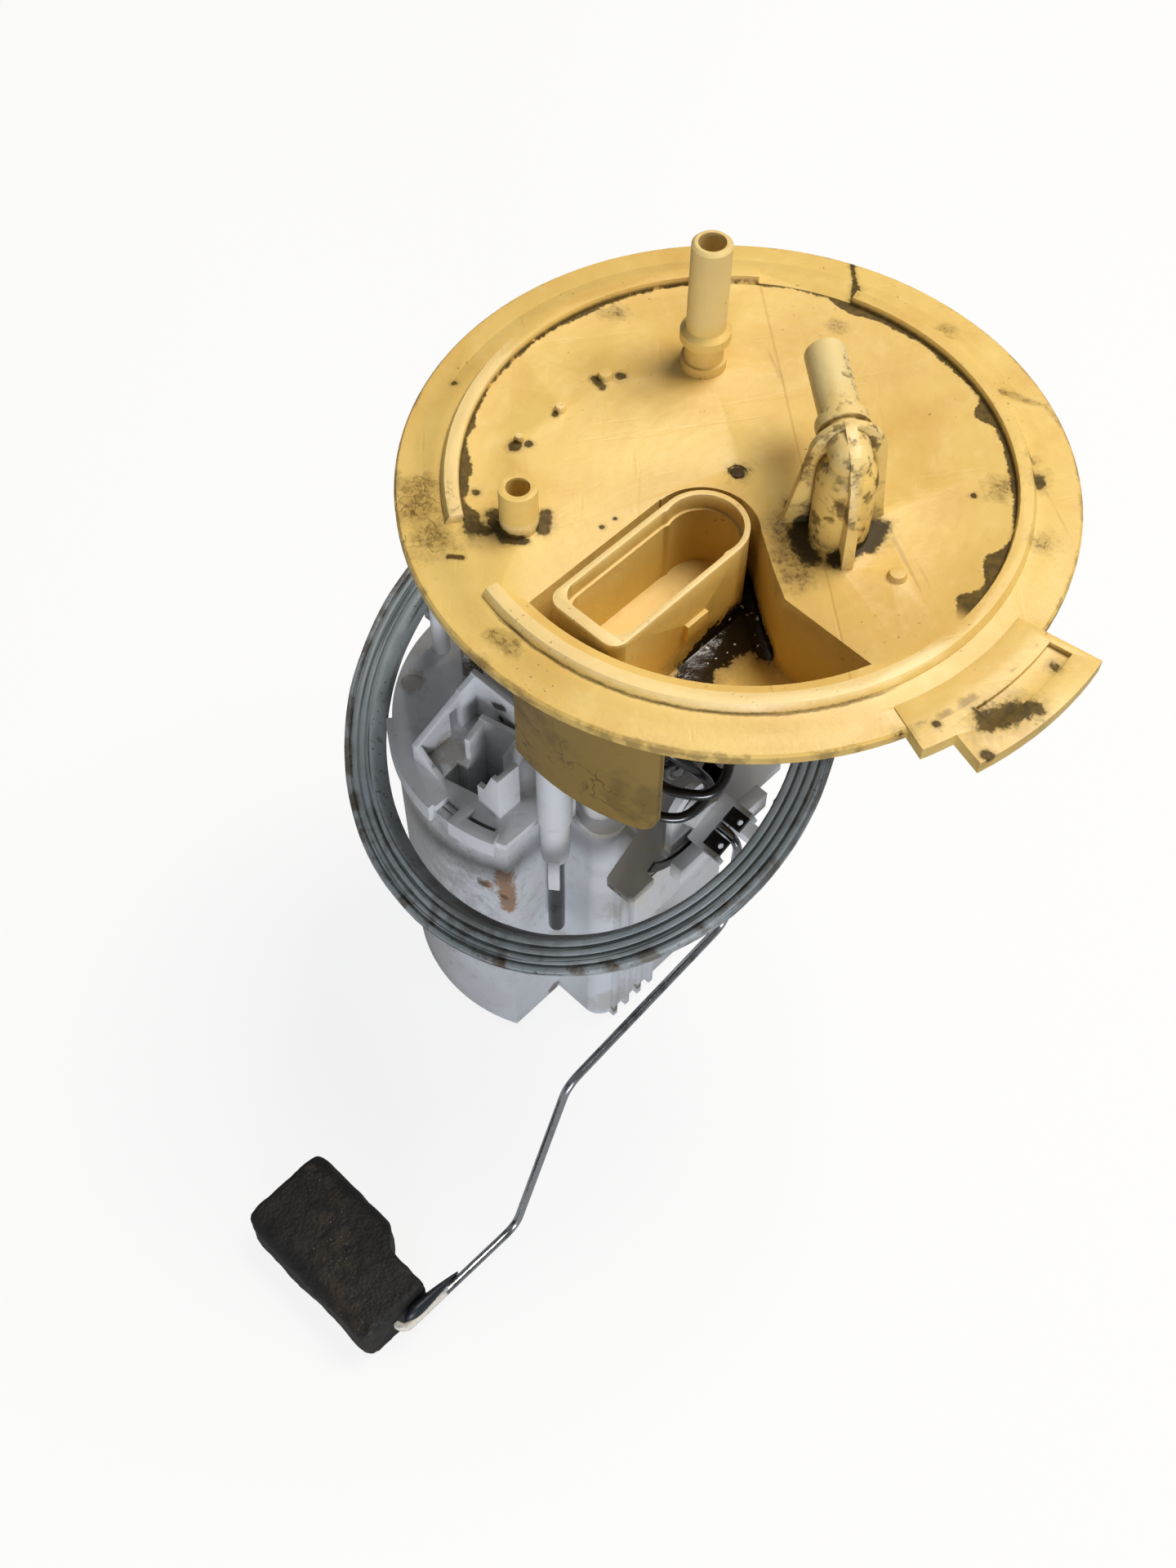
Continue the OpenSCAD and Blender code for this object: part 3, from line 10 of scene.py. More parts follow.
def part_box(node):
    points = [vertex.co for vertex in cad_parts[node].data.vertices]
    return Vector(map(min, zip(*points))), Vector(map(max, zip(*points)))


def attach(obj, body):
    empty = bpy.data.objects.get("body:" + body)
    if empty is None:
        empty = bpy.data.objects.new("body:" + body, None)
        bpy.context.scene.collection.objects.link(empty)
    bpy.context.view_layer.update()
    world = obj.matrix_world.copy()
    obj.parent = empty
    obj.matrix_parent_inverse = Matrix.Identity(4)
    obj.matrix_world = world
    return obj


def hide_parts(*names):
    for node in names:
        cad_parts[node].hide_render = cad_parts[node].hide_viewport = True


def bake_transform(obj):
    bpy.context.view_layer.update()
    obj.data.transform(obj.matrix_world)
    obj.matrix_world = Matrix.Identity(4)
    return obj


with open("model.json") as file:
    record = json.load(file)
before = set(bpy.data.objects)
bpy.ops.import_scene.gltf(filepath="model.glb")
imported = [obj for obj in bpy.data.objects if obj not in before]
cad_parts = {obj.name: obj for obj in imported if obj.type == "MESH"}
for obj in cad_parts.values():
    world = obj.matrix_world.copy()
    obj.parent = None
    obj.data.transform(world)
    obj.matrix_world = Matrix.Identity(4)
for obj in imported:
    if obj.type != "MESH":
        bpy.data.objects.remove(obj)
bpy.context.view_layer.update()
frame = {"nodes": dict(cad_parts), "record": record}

bl_info = {
    "name": "Fuel pump module",
    "version": (1, 0, 0),
    "blender": (4, 5, 0),
    "location": "3D View > Sidebar > Fuel pump",
    "description": "Dresses the packed fuel pump module with its finishes, hoses and leads",
    "category": "Object",
}

NODES = frame["nodes"]
MM = 0.001
PER_M = 1000.0  # millimetres in a metre
SHARP = math.radians(38)  # edges that turn more than this are rounded


# Helpers

def lin(code):
    """sRGB hex value as a linear colour."""
    parts = [int(code[i:i + 2], 16) / 255 for i in (1, 3, 5)]
    return tuple([c / 12.92 if c <= 0.04045 else ((c + 0.055) / 1.055) ** 2.4 for c in parts] + [1.0])


def add(tree, kind, ins=None, out=0, **settings):
    """Adds a node with its settings and links. Gives back its output, or the node where out is None."""
    n = tree.nodes.new(kind)
    for k, v in settings.items():
        setattr(n, k, v)
    for k, v in (ins or {}).items():
        if isinstance(v, bpy.types.NodeSocket):
            tree.links.new(v, n.inputs[k])
        else:
            n.inputs[k].default_value = v
    return n if out is None else n.outputs[out]


MATH, VMATH, RAMP = "ShaderNodeMath", "ShaderNodeVectorMath", "ShaderNodeMapRange"


def blank(name, **sockets):
    """A new material with one Principled shader; its plain numbers go straight to the shader's sockets."""
    m = bpy.data.materials.new(name)
    m.use_nodes = True
    tree = m.node_tree
    tree.nodes.clear()
    shader = add(tree, "ShaderNodeBsdfPrincipled", sockets, out=None)
    add(tree, "ShaderNodeOutputMaterial", {"Surface": shader.outputs[0]}, out=None)
    place = add(tree, "ShaderNodeTexCoord", out="Object")
    return m, tree, shader, place


def noise(tree, place, size_mm, detail=4.0, rough=0.55, stretch=(1, 1, 1)):
    """Cloudy pattern whose lumps are about size_mm across."""
    if stretch != (1, 1, 1):
        place = add(tree, "ShaderNodeMapping", {"Vector": place, "Scale": stretch})
    return add(tree, "ShaderNodeTexNoise", {"Vector": place, "Scale": PER_M / size_mm, "Detail": detail,
            "Roughness": rough})


def soft(tree, value, low, high, lo_out=0.0, hi_out=1.0):
    """value stretched from low..high to lo_out..hi_out, with a soft start and end."""
    return add(tree, RAMP, {0: value, 1: low, 2: high, 3: lo_out, 4: hi_out}, interpolation_type="SMOOTHSTEP")


def calc(tree, what, a, b=0.0, c=0.0):
    """One step of arithmetic."""
    return add(tree, MATH, {0: a, 1: b, 2: c}, operation=what)


def over(tree, mask, below, above):
    """above painted over below where mask is 1."""
    return add(tree, "ShaderNodeMix", {0: mask, 6: below, 7: above}, out=2, data_type="RGBA")


def tint(tree, base, mask, strength, code):
    """base with a colour painted over it where mask is, at that strength."""
    return over(tree, calc(tree, "MULTIPLY", mask, strength), base, lin(code))


def fray(tree, place):
    """Ragged outline for stains: coarse and fine noise together, about -0.5 to 0.5."""
    wide = calc(tree, "MULTIPLY_ADD", noise(tree, place, 4.0, 6.0), 1.5, -0.75)
    return calc(tree, "MULTIPLY_ADD", noise(tree, place, 0.9, 3.0), 0.9, calc(tree, "ADD", wide, -0.45))


def near(tree, place, spots, ragged):
    """How deep a place lies in ragged stains: 1 in the middle, below 0 outside. In mm, a stain is
    (x, y, z, radius) or, where it is a line, (x, y, z, radius, x2, y2, z2)."""
    best = None
    for x, y, z, r, *end in spots:
        at = add(tree, VMATH, {0: place, 1: (x * MM, y * MM, z * MM)}, operation="SUBTRACT")
        if end:
            way = Vector(end) * MM - Vector((x, y, z)) * MM
            share = add(tree, VMATH, {0: at, 1: tuple(way / way.length_squared)}, out="Value",
                        operation="DOT_PRODUCT")
            share = add(tree, RAMP, {0: share, 1: 0.0, 2: 1.0, 3: 0.0, 4: 1.0})
            along = add(tree, VMATH, {0: tuple(way), "Scale": share}, operation="SCALE")
            at = add(tree, VMATH, {0: at, 1: along}, operation="SUBTRACT")
        d = add(tree, VMATH, {0: at}, out="Value", operation="LENGTH")
        m = calc(tree, "MULTIPLY_ADD", d, -1 / (r * MM), 1.0)
        best = m if best is None else calc(tree, "MAXIMUM", best, m)
    return calc(tree, "MULTIPLY_ADD", ragged, 0.8, best)


def peaks(tree, value, bumps, least):
    """A width that follows an angle: least, and more round each (centre, half span, height)."""
    out = least
    for centre, span, height in bumps:
        off = calc(tree, "ABSOLUTE", calc(tree, "SUBTRACT", value, centre))
        out = calc(tree, "ADD", soft(tree, off, 0.0, span, height, 0.0), out)
    return out


def bump(tree, shader, height, depth_mm, strength=1.0):
    """Fine relief on the shader's normal."""
    tree.links.new(add(tree, "ShaderNodeBump", {"Height": height, "Distance": depth_mm * MM,
            "Strength": strength}),
                   shader.inputs["Normal"])


# The stage

class STAGE_OT_build(bpy.types.Operator):
    """Floor, lamps, world and the camera at the photograph's angle"""
    bl_idname = "pumpset.stage"
    bl_label = "Stage"

    def execute(self, context):
        size = context.scene.pump_stage
        bpy.ops.object.select_all(action="DESELECT")
        bpy.ops.mesh.primitive_plane_add(size=6.0, location=(0, 0, size.floor_z))
        floor = context.active_object
        floor.name = "stage_floor"
        bpy.ops.object.transform_apply(location=True, rotation=True, scale=True)
        m = bpy.data.materials.new("Pale studio floor")
        m.use_nodes = True
        t = m.node_tree
        t.nodes.clear()
        path = add(t, "ShaderNodeLightPath", out=None)
        seen = calc(t, "MAXIMUM", path.outputs["Is Camera Ray"],
                    calc(t, "MAXIMUM", path.outputs["Is Glossy Ray"], path.outputs["Is Transmission Ray"]))
        # pale to the camera, dimmer to what stands on it, as in a room with a dark floor further out
        camera = path.outputs["Is Camera Ray"]
        dull = add(t, "ShaderNodeBsdfDiffuse", {"Color": over(t, camera, (0.2, 0.2, 0.2, 1),
                (0.8, 0.8, 0.8, 1))})
        glow = add(t, "ShaderNodeEmission", {"Color": (1, 1, 1, 1), "Strength": calc(t, "MULTIPLY_ADD",
                camera, 0.6, 0.4)})
        mixed = add(t, "ShaderNodeMixShader", {0: times(t, seen, 0.86), 1: dull, 2: glow})
        add(t, "ShaderNodeOutputMaterial", {"Surface": mixed}, out=None)
        floor.data.materials.append(m)

        world = bpy.data.worlds.new("Soft room")
        context.scene.world = world
        world.use_nodes = True
        t = world.node_tree
        t.nodes.clear()
        path = add(t, "ShaderNodeLightPath", out=None)
        seen = calc(t, "MAXIMUM", path.outputs["Is Camera Ray"], path.outputs["Is Transmission Ray"])
        white = add(t, "ShaderNodeBackground", {"Color": (1, 1, 1, 1), "Strength": 1.0})
        room = add(t, "ShaderNodeBackground", {"Color": lin("#E9EEF5"), "Strength": size.room})
        add(t, "ShaderNodeOutputWorld", {"Surface": add(t, "ShaderNodeMixShader",
                {0: seen, 1: room, 2: white})}, out=None)

        for name, where, aim, side, watts, tint in (
                ("key_lamp", (0.2, 0.5, 1.15), (0, 0, -0.03), 0.8, size.key, "#FFF7EC"),
                ("fill_lamp", (-0.75, -0.65, 0.75), (0, -0.03, -0.1), 0.9, size.fill, "#E6EEFF"),
                ("front_lamp", (0.8, -0.75, 0.04), (-0.02, -0.04, -0.11), 0.4, size.front, "#F4F7FF")):
            bpy.ops.object.light_add(type="AREA", location=where)
            lamp = context.active_object
            lamp.name = name
            lamp.rotation_euler = (Vector(aim) - Vector(where)).to_track_quat("-Z", "Y").to_euler()
            lamp.data.shape = "DISK"
            lamp.data.size = side
            lamp.data.energy = watts
            lamp.data.color = lin(tint)[:3]

        cam = bpy.data.cameras.new("photo_camera")
        cam.lens = size.lens
        cam.sensor_width = 36.0
        cam.sensor_fit = "AUTO"
        cam.clip_start = 0.01
        eye = bpy.data.objects.new("photo_camera", cam)
        context.scene.collection.objects.link(eye)
        right, down, ahead = (0.7176, 0.6964, 0.0050), (0.5839, -0.5977, -0.5494), (-0.3796, 0.3972, -0.8355)
        turn = Matrix([[right[i], -down[i], -ahead[i]] for i in range(3)]).to_4x4()
        eye.matrix_world = Matrix.Translation((0.1433, -0.1901, 0.2547)) @ turn
        context.scene.camera = eye
        view = context.scene.view_settings
        view.view_transform = "Standard"
        return {"FINISHED"}


class StageSizes(bpy.types.PropertyGroup):
    floor_z: FloatProperty(name="Floor height", description="Height of the studio floor", default=-0.1756,
                           unit="LENGTH")
    room: FloatProperty(name="Room light", description="Strength of the even room light", default=0.19)
    key: FloatProperty(name="Key lamp", description="Power of the lamp behind on the right, in watts",
                       default=20.5)
    fill: FloatProperty(name="Fill lamp", description="Power of the lamp on the left, in watts", default=0.2)
    front: FloatProperty(name="Front lamp", description="Power of the low lamp in front, in watts",
                         default=8.0)
    lens: FloatProperty(name="Lens", description="Focal length of the camera, in millimetres", default=41.25)


# Materials

def split(tree, place):
    """The three coordinates of a place, in metres."""
    return add(tree, "ShaderNodeSeparateXYZ", {0: place}, out=None).outputs


def polar(tree, place):
    """Distance from the flange's axis in mm and the angle round it in degrees, from -180 to 180."""
    x, y, _ = split(tree, place)
    r = calc(tree, "SQRT", calc(tree, "MULTIPLY_ADD", x, x, calc(tree, "MULTIPLY", y, y)))
    return calc(tree, "MULTIPLY", r, PER_M), calc(tree, "MULTIPLY", calc(tree, "ARCTAN2", y, x),
            180 / math.pi)


def band(tree, value, low, high, edge):
    """1 between low and high, falling off over edge on both sides."""
    up = soft(tree, value, low - edge, low + edge)
    return calc(tree, "MULTIPLY", up, soft(tree, value, high - edge, high + edge, 1.0, 0.0))


def times(tree, *masks):
    """Masks or values multiplied together."""
    out = masks[0]
    for m in masks[1:]:
        out = calc(tree, "MULTIPLY", out, m)
    return out


def most(tree, *masks):
    """The strongest of several masks."""
    out = masks[0]
    for m in masks[1:]:
        out = calc(tree, "MAXIMUM", out, m)
    return out


def creases(tree, reach_mm):
    """1 in corners and under things that are nearer than reach_mm, 0 in the open."""
    ao = add(tree, "ShaderNodeAmbientOcclusion", {"Distance": reach_mm * MM}, out=1, samples=6,
             only_local=True)
    return calc(tree, "SUBTRACT", 1.0, ao)


def scratches(tree, place, size_mm, turn):
    """Thin straight marks that run along one direction."""
    turned = add(tree, "ShaderNodeMapping", {"Vector": place, "Rotation": turn})
    long_way = add(tree, "ShaderNodeMapping", {"Vector": turned, "Scale": (1.0, 0.05, 1.0)})
    return soft(tree, noise(tree, long_way, size_mm, 2.0), 0.66, 0.72)


def moulded(name, code, dark, film, look, stains_and_shade=(), creased=0.6, broad_mm=24.0, rough=0.4):
    """Moulded plastic: colour drift, an oily film, painted shade in its corners broken up with dirt, stains
    with any painted shade listed among them, scratches and a fine grain.
    """
    m, t, s, place = blank(name, **{"IOR": 1.48})
    fine, mid, broad = noise(t, place, 1.4, 6.0), noise(t, place, 5.5, 5.0), noise(t, place, broad_mm, 3.0)
    base = over(t, soft(t, broad, 0.38, 0.68), lin(code), lin(film))
    base = tint(t, base, soft(t, mid, 0.52, 0.74), 0.3 * look, dark)
    # painted shade: corners and places under things darkened in the dark colour, broken up by dirt noise
    corner = soft(t, calc(t, "MULTIPLY_ADD", mid, 0.5, creases(t, 5.0)), 0.62, 1.05)
    base = tint(t, base, corner, creased, dark)
    specks = times(t, soft(t, noise(t, place, 0.9, 3.0), 0.66, 0.7), soft(t, mid, 0.45, 0.6))
    base = tint(t, base, specks, 0.55 * look, dark)
    wet = None
    ragged = fray(t, place) if stains_and_shade else None
    # stains over the base colour, and for the pot also painted shade on its left side
    for spots, colour, strength in stains_and_shade:
        mask = times(t, soft(t, near(t, place, spots, ragged), 0.1, 0.6), strength)
        base = over(t, mask, base, lin(colour))
        wet = mask if wet is None else calc(t, "MAXIMUM", wet, mask)
    marks = most(t, scratches(t, place, 2.2, (0.3, 0.2, 0.7)), scratches(t, place, 3.1, (0.1, 0.9, -0.5)))
    t.links.new(base, s.inputs["Base Color"])
    shine = calc(t, "MULTIPLY_ADD", mid, 0.22, rough - 0.11)
    if wet is not None:
        shine = add(t, "ShaderNodeMix", {0: wet, 2: shine, 3: 0.24})
    t.links.new(shine, s.inputs["Roughness"])
    relief = calc(t, "SUBTRACT", calc(t, "MULTIPLY_ADD", mid, 0.5, fine), times(t, marks, 0.5))
    bump(t, s, relief, 0.09, 0.6)
    return m


FOOT = ((104, 8, 2.4), (93, 9, 1.0), (78, 16, 0.7), (62, 5, 3.0), (52, 16, 0.9), (38, 14, 0.7), (18, 8, 3.4),
        (6, 8, 3.6), (-136, 12, 2.0), (-122, 7, 2.8), (-150, 6, 0.8), (165, 26, 0.5))
OIL_SPOTS = [
    (-22.2, 61.0, 3, 0.9, -16.6, 55.2, 3), (-16.6, 55.2, 3, 1.6, -14.0, 52.0, 3), (37.8, 40.9, 3, 1.8),
    (42.2, 37.9, 3, 2.6), (69.0, -11.9, 3, 4.4, 71.8, -7.4, 3), (70.6, -9.8, 3, 4.0), (73.4, -5.2, 3, 2.2),
    (70.1, 5.5, 3, 1.9), (63.1, -19.8, 3, 1.1), (73.5, -18.9, 3, 1.8), (60.9, -25.9, 2.5, 2.0),
    (-25.6, -44.2, 3, 3.4), (-23.4, -43.4, 3, 2.2), (-25.2, -39.4, 3, 2.6),
    (-24.2, -41.2, 3, 1.7, -19.6, -42.2, 3), (-19.6, -42.4, 3, 1.4, -16.4, -40.2, 3),
    (-16.2, -36.2, 3, 1.9, -18.6, -32.8, 3), (-31.7, -38.1, 3, 1.2), (-33.5, 3.1, 3, 1.6),
    (-36.5, -1.2, 3, 1.2, -34.0, -1.6, 3), (-35.4, -13.4, 3, 1.1), (-35.0, -24.8, 3, 1.6),
    (-33.4, -22.4, 3, 1.2), (-24.0, -52.6, 3, 0.8, -22.0, -51.0, 3), (-55.6, -21.2, 3, 1.0),
    (-8.9, -27.8, 3, 0.8), (-8.5, -24.6, 3, 0.6), (35.6, 26.6, 3, 0.8)]
FOOT_SPOTS = [
    (-0.2, 0.2, 3, 2.5), (28.0, 8.0, 3, 2.8, 29.2, 3.0, 3), (29.2, 3.0, 3, 2.6, 27.2, -3.4, 3),
    (14.6, 3.6, 3, 3.0, 18.4, -3.8, 3), (18.4, -3.8, 3, 2.8, 23.4, -6.6, 3), (12.4, 1.0, 3, 1.6),
    (12.0, 5.8, 3, 1.2)]
BROWN_SPOTS = [
    (22.7, 52.0, 3, 0.8, 31.0, 55.4, 3), (31.0, 55.4, 3, 0.7, 36.5, 53.6, 3), (16.4, -5.0, 3, 4.6),
    (21.0, -9.0, 3, 4.6), (24.2, -12.0, 3, 3.6), (25.6, -12.3, 3, 2.4),
    (-4.7, -59.8, 3, 1.8, -1.0, -59.0, 3), (-2.6, -65.3, 1, 2.0), (38.6, 31.5, 3, 3.0),
    (-37.1, -48.4, 3, 4.6), (-29.8, -51.1, 3, 4.4), (-40.1, -45.6, 3, 3.6), (-47, 15, 3, 2.6),
    (-12.0, 44.0, 3, 2.0), (52.0, 26.0, 3, 2.6), (4.0, 59.0, 3, 2.0)]
ELBOW_SPOTS = [
    (19.2, 5.4, 19, 3.4), (26.5, -3.6, 15, 3.2), (20.4, -4.4, 9, 4.2), (23.0, -5.0, 6, 3.6),
    (28.2, 4.8, 18, 2.8), (27.0, 7.4, 12, 3.0), (26.6, 8.0, 6, 2.6), (18.0, -3.4, 15, 2.6),
    (29.0, 0.2, 8, 3.0), (17.2, 0.6, 6, 3.2), (23.6, 6.6, 22, 1.6), (21.0, 8.6, 24.5, 1.5),
    (16.6, 10.4, 23.2, 1.6), (11.0, 14.6, 25.6, 1.4), (9.4, 15.8, 25.8, 1.5), (7.6, 17.4, 25.6, 1.2),
    (18.2, 5.2, 24.6, 1.4), (20.4, 2.0, 20, 2.2)]


def acetal_yellow(look):
    """Aged yellow acetal, moulded: satin, painted shade in its hollows, below its seat and in its creases,
    painted glints on wet oil, and oil and brown dirt round its feet.
    """
    m, t, s, place = blank("Aged yellow acetal, moulded", **{"IOR": 1.48})
    r, az = polar(t, place)
    x, y, z = split(t, place)
    zmm = times(t, z, PER_M)
    ragged = fray(t, place)
    fine, mid, broad = noise(t, place, 1.3, 6.0), noise(t, place, 4.5, 6.0), noise(t, place, 30.0, 3.0)
    base = over(t, soft(t, broad, 0.35, 0.68), lin(look.acetal), lin(look.acetal_dull))
    base = tint(t, base, soft(t, noise(t, place, 11.0, 6.0), 0.45, 0.75), 0.4, "#C69A4C")
    base = tint(t, base, soft(t, mid, 0.5, 0.8), 0.2, "#EDD79C")
    # painted shade: deeper amber in the socket and the pocket, and darker below the seat where the flange
    # shades it
    hollow_shade = times(t, soft(t, zmm, 2.4, -8.0), soft(t, r, 51.0, 50.0))
    base = tint(t, base, hollow_shade, 0.8, look.amber)
    low = times(t, soft(t, zmm, -0.5, -3.0), soft(t, r, 50.2, 51.0))
    base = tint(t, base, low, 0.9, "#84692F")
    # bleached tube; paler top of the elbow, latch and rims
    out = calc(t, "MULTIPLY_ADD", calc(t, "SUBTRACT", x, 0.023), -0.766,
               times(t, calc(t, "SUBTRACT", y, 0.002), 0.643))
    tube = times(t, soft(t, calc(t, "MULTIPLY_ADD", ragged, 0.006, out), 0.008, 0.018),
                 soft(t, z, 0.012, 0.017))
    base = tint(t, base, tube, 0.6, look.bleach)
    crown = times(t, soft(t, calc(t, "MULTIPLY_ADD", ragged, 2.5, zmm), 20.0, 25.0), soft(t, x, 0.0, 0.004))
    base = tint(t, base, crown, 0.3, "#E9DCA8")
    rim = times(t, soft(t, calc(t, "MULTIPLY_ADD", ragged, 1.0, zmm), 3.4, 4.6), soft(t, y, -0.002, -0.012),
                soft(t, zmm, 7.0, 5.6))
    base = tint(t, base, rim, 0.4, "#F5E2AE")
    # faint turned rings and the seam across the flange
    turned = calc(t, "SINE", times(t, r, 2.1))
    top = band(t, zmm, 2.6, 3.6, 0.3)
    seam_at = calc(t, "MULTIPLY_ADD", x, 0.838, calc(t, "MULTIPLY_ADD", y, 1.0, -0.0161))
    seam = times(t, top, soft(t, calc(t, "ABSOLUTE", seam_at), 0.0001, 0.0005, 1.0, 0.0),
                 soft(t, r, 54.0, 53.0, 0.0, 1.0))
    base = tint(t, base, seam, 0.3, "#A87F3C")
    # oil along the foot of the raised ring, as wide as peaks() says
    depth = calc(t, "ADD", calc(t, "SUBTRACT", r, 52.6),
                 calc(t, "MULTIPLY_ADD", ragged, 1.5, peaks(t, az, FOOT, 0.3)))
    behind = calc(t, "MAXIMUM", soft(t, az, 0.0, 5.0), soft(t, az, -116.0, -120.0))
    foot = times(t, soft(t, depth, -0.2, 0.3), soft(t, r, 53.1, 52.8), behind, soft(t, zmm, 4.4, 3.4))
    front = times(t, soft(t, calc(t, "MULTIPLY_ADD", ragged, 0.4, r), 56.0, 56.3),
                  soft(t, calc(t, "MULTIPLY_ADD", ragged, 0.5, r), 56.9, 56.5),
                  band(t, az, -98.0, -20.0, 4.0), top)
    spots = near(t, place, OIL_SPOTS, ragged)
    feet = near(t, place, FOOT_SPOTS, ragged)
    elbow = near(t, place, ELBOW_SPOTS, times(t, ragged, 1.3))
    browns = near(t, place, BROWN_SPOTS, times(t, ragged, 1.6))
    dots = soft(t, noise(t, place, 0.8, 3.0), 0.5, 0.6)
    # painted shade: corners and creases darkened, with a ragged dirt edge
    corner = soft(t, calc(t, "MULTIPLY_ADD", ragged, 0.7, creases(t, 3.5)), 0.5, 1.0)
    base = tint(t, base, corner, 0.6, "#7C6128")
    film = soft(t, calc(t, "MULTIPLY_ADD", ragged, 0.6, most(t, spots, browns, feet)), -0.6, 0.4)
    base = tint(t, base, film, 0.4, "#8C7236")
    clots = soft(t, noise(t, place, 2.2, 5.0), 0.48, 0.62)
    base = tint(t, base, times(t, soft(t, browns, 0.0, 0.6), clots), 0.5, "#7A5F2B")
    base = tint(t, base, times(t, soft(t, browns, 0.2, 0.7), dots), 0.6, "#5A3E0C")
    base = tint(t, base, times(t, soft(t, elbow, 0.15, 0.5), soft(t, mid, 0.4, 0.56)), 0.8, "#4A3108")
    about = near(t, place, [(22.5, 1.5, 7, 12.0, 22.5, 1.5, 20), (17.0, 8.0, 22, 7.0)], ragged)
    smudged = times(t, soft(t, about, 0.0, 0.3), soft(t, zmm, 3.2, 4.2), clots,
                    soft(t, noise(t, place, 7.0, 3.0), 0.4, 0.6))
    base = tint(t, base, smudged, 0.8, "#463006")
    # painted shade in the creases round the elbow
    inside = times(t, soft(t, about, 0.0, 0.3), soft(t, creases(t, 6.0), 0.25, 0.8), soft(t, zmm, 3.2, 5.0))
    base = tint(t, base, inside, 0.6, "#6E5420")
    row = times(t, soft(t, near(t, place, [(17.6, 11.6, 23.6, 2.6, 8.6, 19.2, 23.6)], ragged), 0.0, 0.5),
                dots)
    base = tint(t, base, row, 0.75, "#4A3A1E")
    nicks = times(t, soft(t, calc(t, "MULTIPLY_ADD", ragged, 1.2, r), 64.0, 64.9), soft(t, mid, 0.45, 0.6),
                  soft(t, r, 66.0, 65.6))
    base = tint(t, base, nicks, 0.6, "#7A5E2C")
    blots = times(t, low, soft(t, noise(t, place, 9.0, 5.0), 0.5, 0.66))
    base = tint(t, base, blots, 0.5, "#5E4820")
    wiggle = soft(t, calc(t, "ABSOLUTE", calc(t, "SUBTRACT", noise(t, place, 7.0, 2.0), 0.5)), 0.004, 0.02,
                  1.0, 0.0)
    tab = times(t, wiggle, soft(t, zmm, -6.0, -12.0), soft(t, r, 51.0, 51.6),
                soft(t, noise(t, place, 16.0, 3.0), 0.48, 0.6))
    streaks = times(t, scratches(t, place, 3.0, (0.0, 0.0, 2.1)),
                    soft(t, noise(t, place, 24.0, 3.0), 0.42, 0.6), top)
    base = tint(t, base, streaks, 0.35, "#8A6C34")
    melted = times(t, soft(t, near(t, place, [(-37.5, -47.5, 3, 9.0), (-30, -52.0, 3, 7.0)], ragged), 0.0,
                           0.5), wiggle)
    base = over(t, calc(t, "MULTIPLY_ADD", melted, 0.25, times(t, tab, 0.75)), base, lin("#54401F"))
    flecks = times(t, soft(t, noise(t, place, 1.0, 4.0), 0.66, 0.7),
                   soft(t, noise(t, place, 16.0, 3.0), 0.5, 0.62))
    base = tint(t, base, flecks, 0.7, "#6A4C22")
    oil = most(t, foot, times(t, front, 0.7), soft(t, spots, 0.15, 0.5), soft(t, feet, 0.1, 0.45))
    shade = over(t, soft(t, fine, 0.4, 0.62), lin("#392C10"), lin("#544116"))
    shade = over(t, soft(t, feet, 0.3, 0.6), shade, lin("#1E1606"))
    base = over(t, times(t, oil, 0.93), base, shade)
    puddle = [(8, -3, -17, 3.6, 17.5, -13.5, -17), (17.5, -13.5, -17, 3.4, 23.0, -15.4, -17),
              (13, -15.0, -17, 5.0, 15.5, -24, -17),
              (15.5, -24.0, -17, 4.2, 17.6, -30.5, -17), (17.4, -17, -17, 4.0)]
    pocket = near(t, place, puddle, ragged)
    deep = soft(t, zmm, -9.0, -13.0)
    base = tint(t, base, times(t, soft(t, pocket, -0.9, 0.2), deep), 0.6, "#7A5E22")
    wet = times(t, soft(t, pocket, 0.05, 0.25), deep)
    base = tint(t, base, wet, 0.97, look.oil)
    # painted glints: near-white specks on the wet oil stand for its highlights
    base = over(t, times(t, wet, soft(t, noise(t, place, 1.6, 2.0), 0.7, 0.72)), base, lin("#F0ECDD"))
    t.links.new(base, s.inputs["Base Color"])
    shine = calc(t, "MULTIPLY_ADD", mid, 0.3, calc(t, "MULTIPLY_ADD", oil, 0.12, 0.28))
    shine = add(t, "ShaderNodeMix", {0: wet, 2: shine, 3: 0.05})
    t.links.new(shine, s.inputs["Roughness"])
    t.links.new(calc(t, "MULTIPLY_ADD", oil, -0.3, 0.5), s.inputs["Specular IOR Level"])
    marks = most(t, scratches(t, place, 2.4, (0.0, 0.0, 0.6)), scratches(t, place, 3.4, (0.0, 0.2, -0.8)))
    relief = calc(t, "MULTIPLY_ADD", turned, 0.1, calc(t, "MULTIPLY_ADD", mid, 0.8, fine))
    relief = calc(t, "SUBTRACT", relief, calc(t, "MULTIPLY_ADD", marks, 0.4, times(t, seam, 0.6)))
    bump(t, s, calc(t, "SUBTRACT", relief, times(t, melted, 1.5)), 0.12, 0.6)
    return m


def metal(name, code, rough, grime="#2A221A", dirty=0.4, brush=(1, 1, 1), size_mm=5.0):
    """Bare metal with stained patches, dull streaks and fine drawing or grinding marks."""
    m, t, s, place = blank(name, **{"Metallic": 1.0})
    mid, fine = noise(t, place, size_mm, 6.0), noise(t, place, 0.5, 3.0, stretch=brush)
    mask = times(t, soft(t, mid, 0.5, 0.72), dirty)
    t.links.new(over(t, mask, lin(code), lin(grime)), s.inputs["Base Color"])
    t.links.new(calc(t, "MULTIPLY_ADD", mid, 0.35, calc(t, "MULTIPLY_ADD", fine, 0.15, rough - 0.2)),
                s.inputs["Roughness"])
    bump(t, s, fine, 0.02, 0.5)
    return m


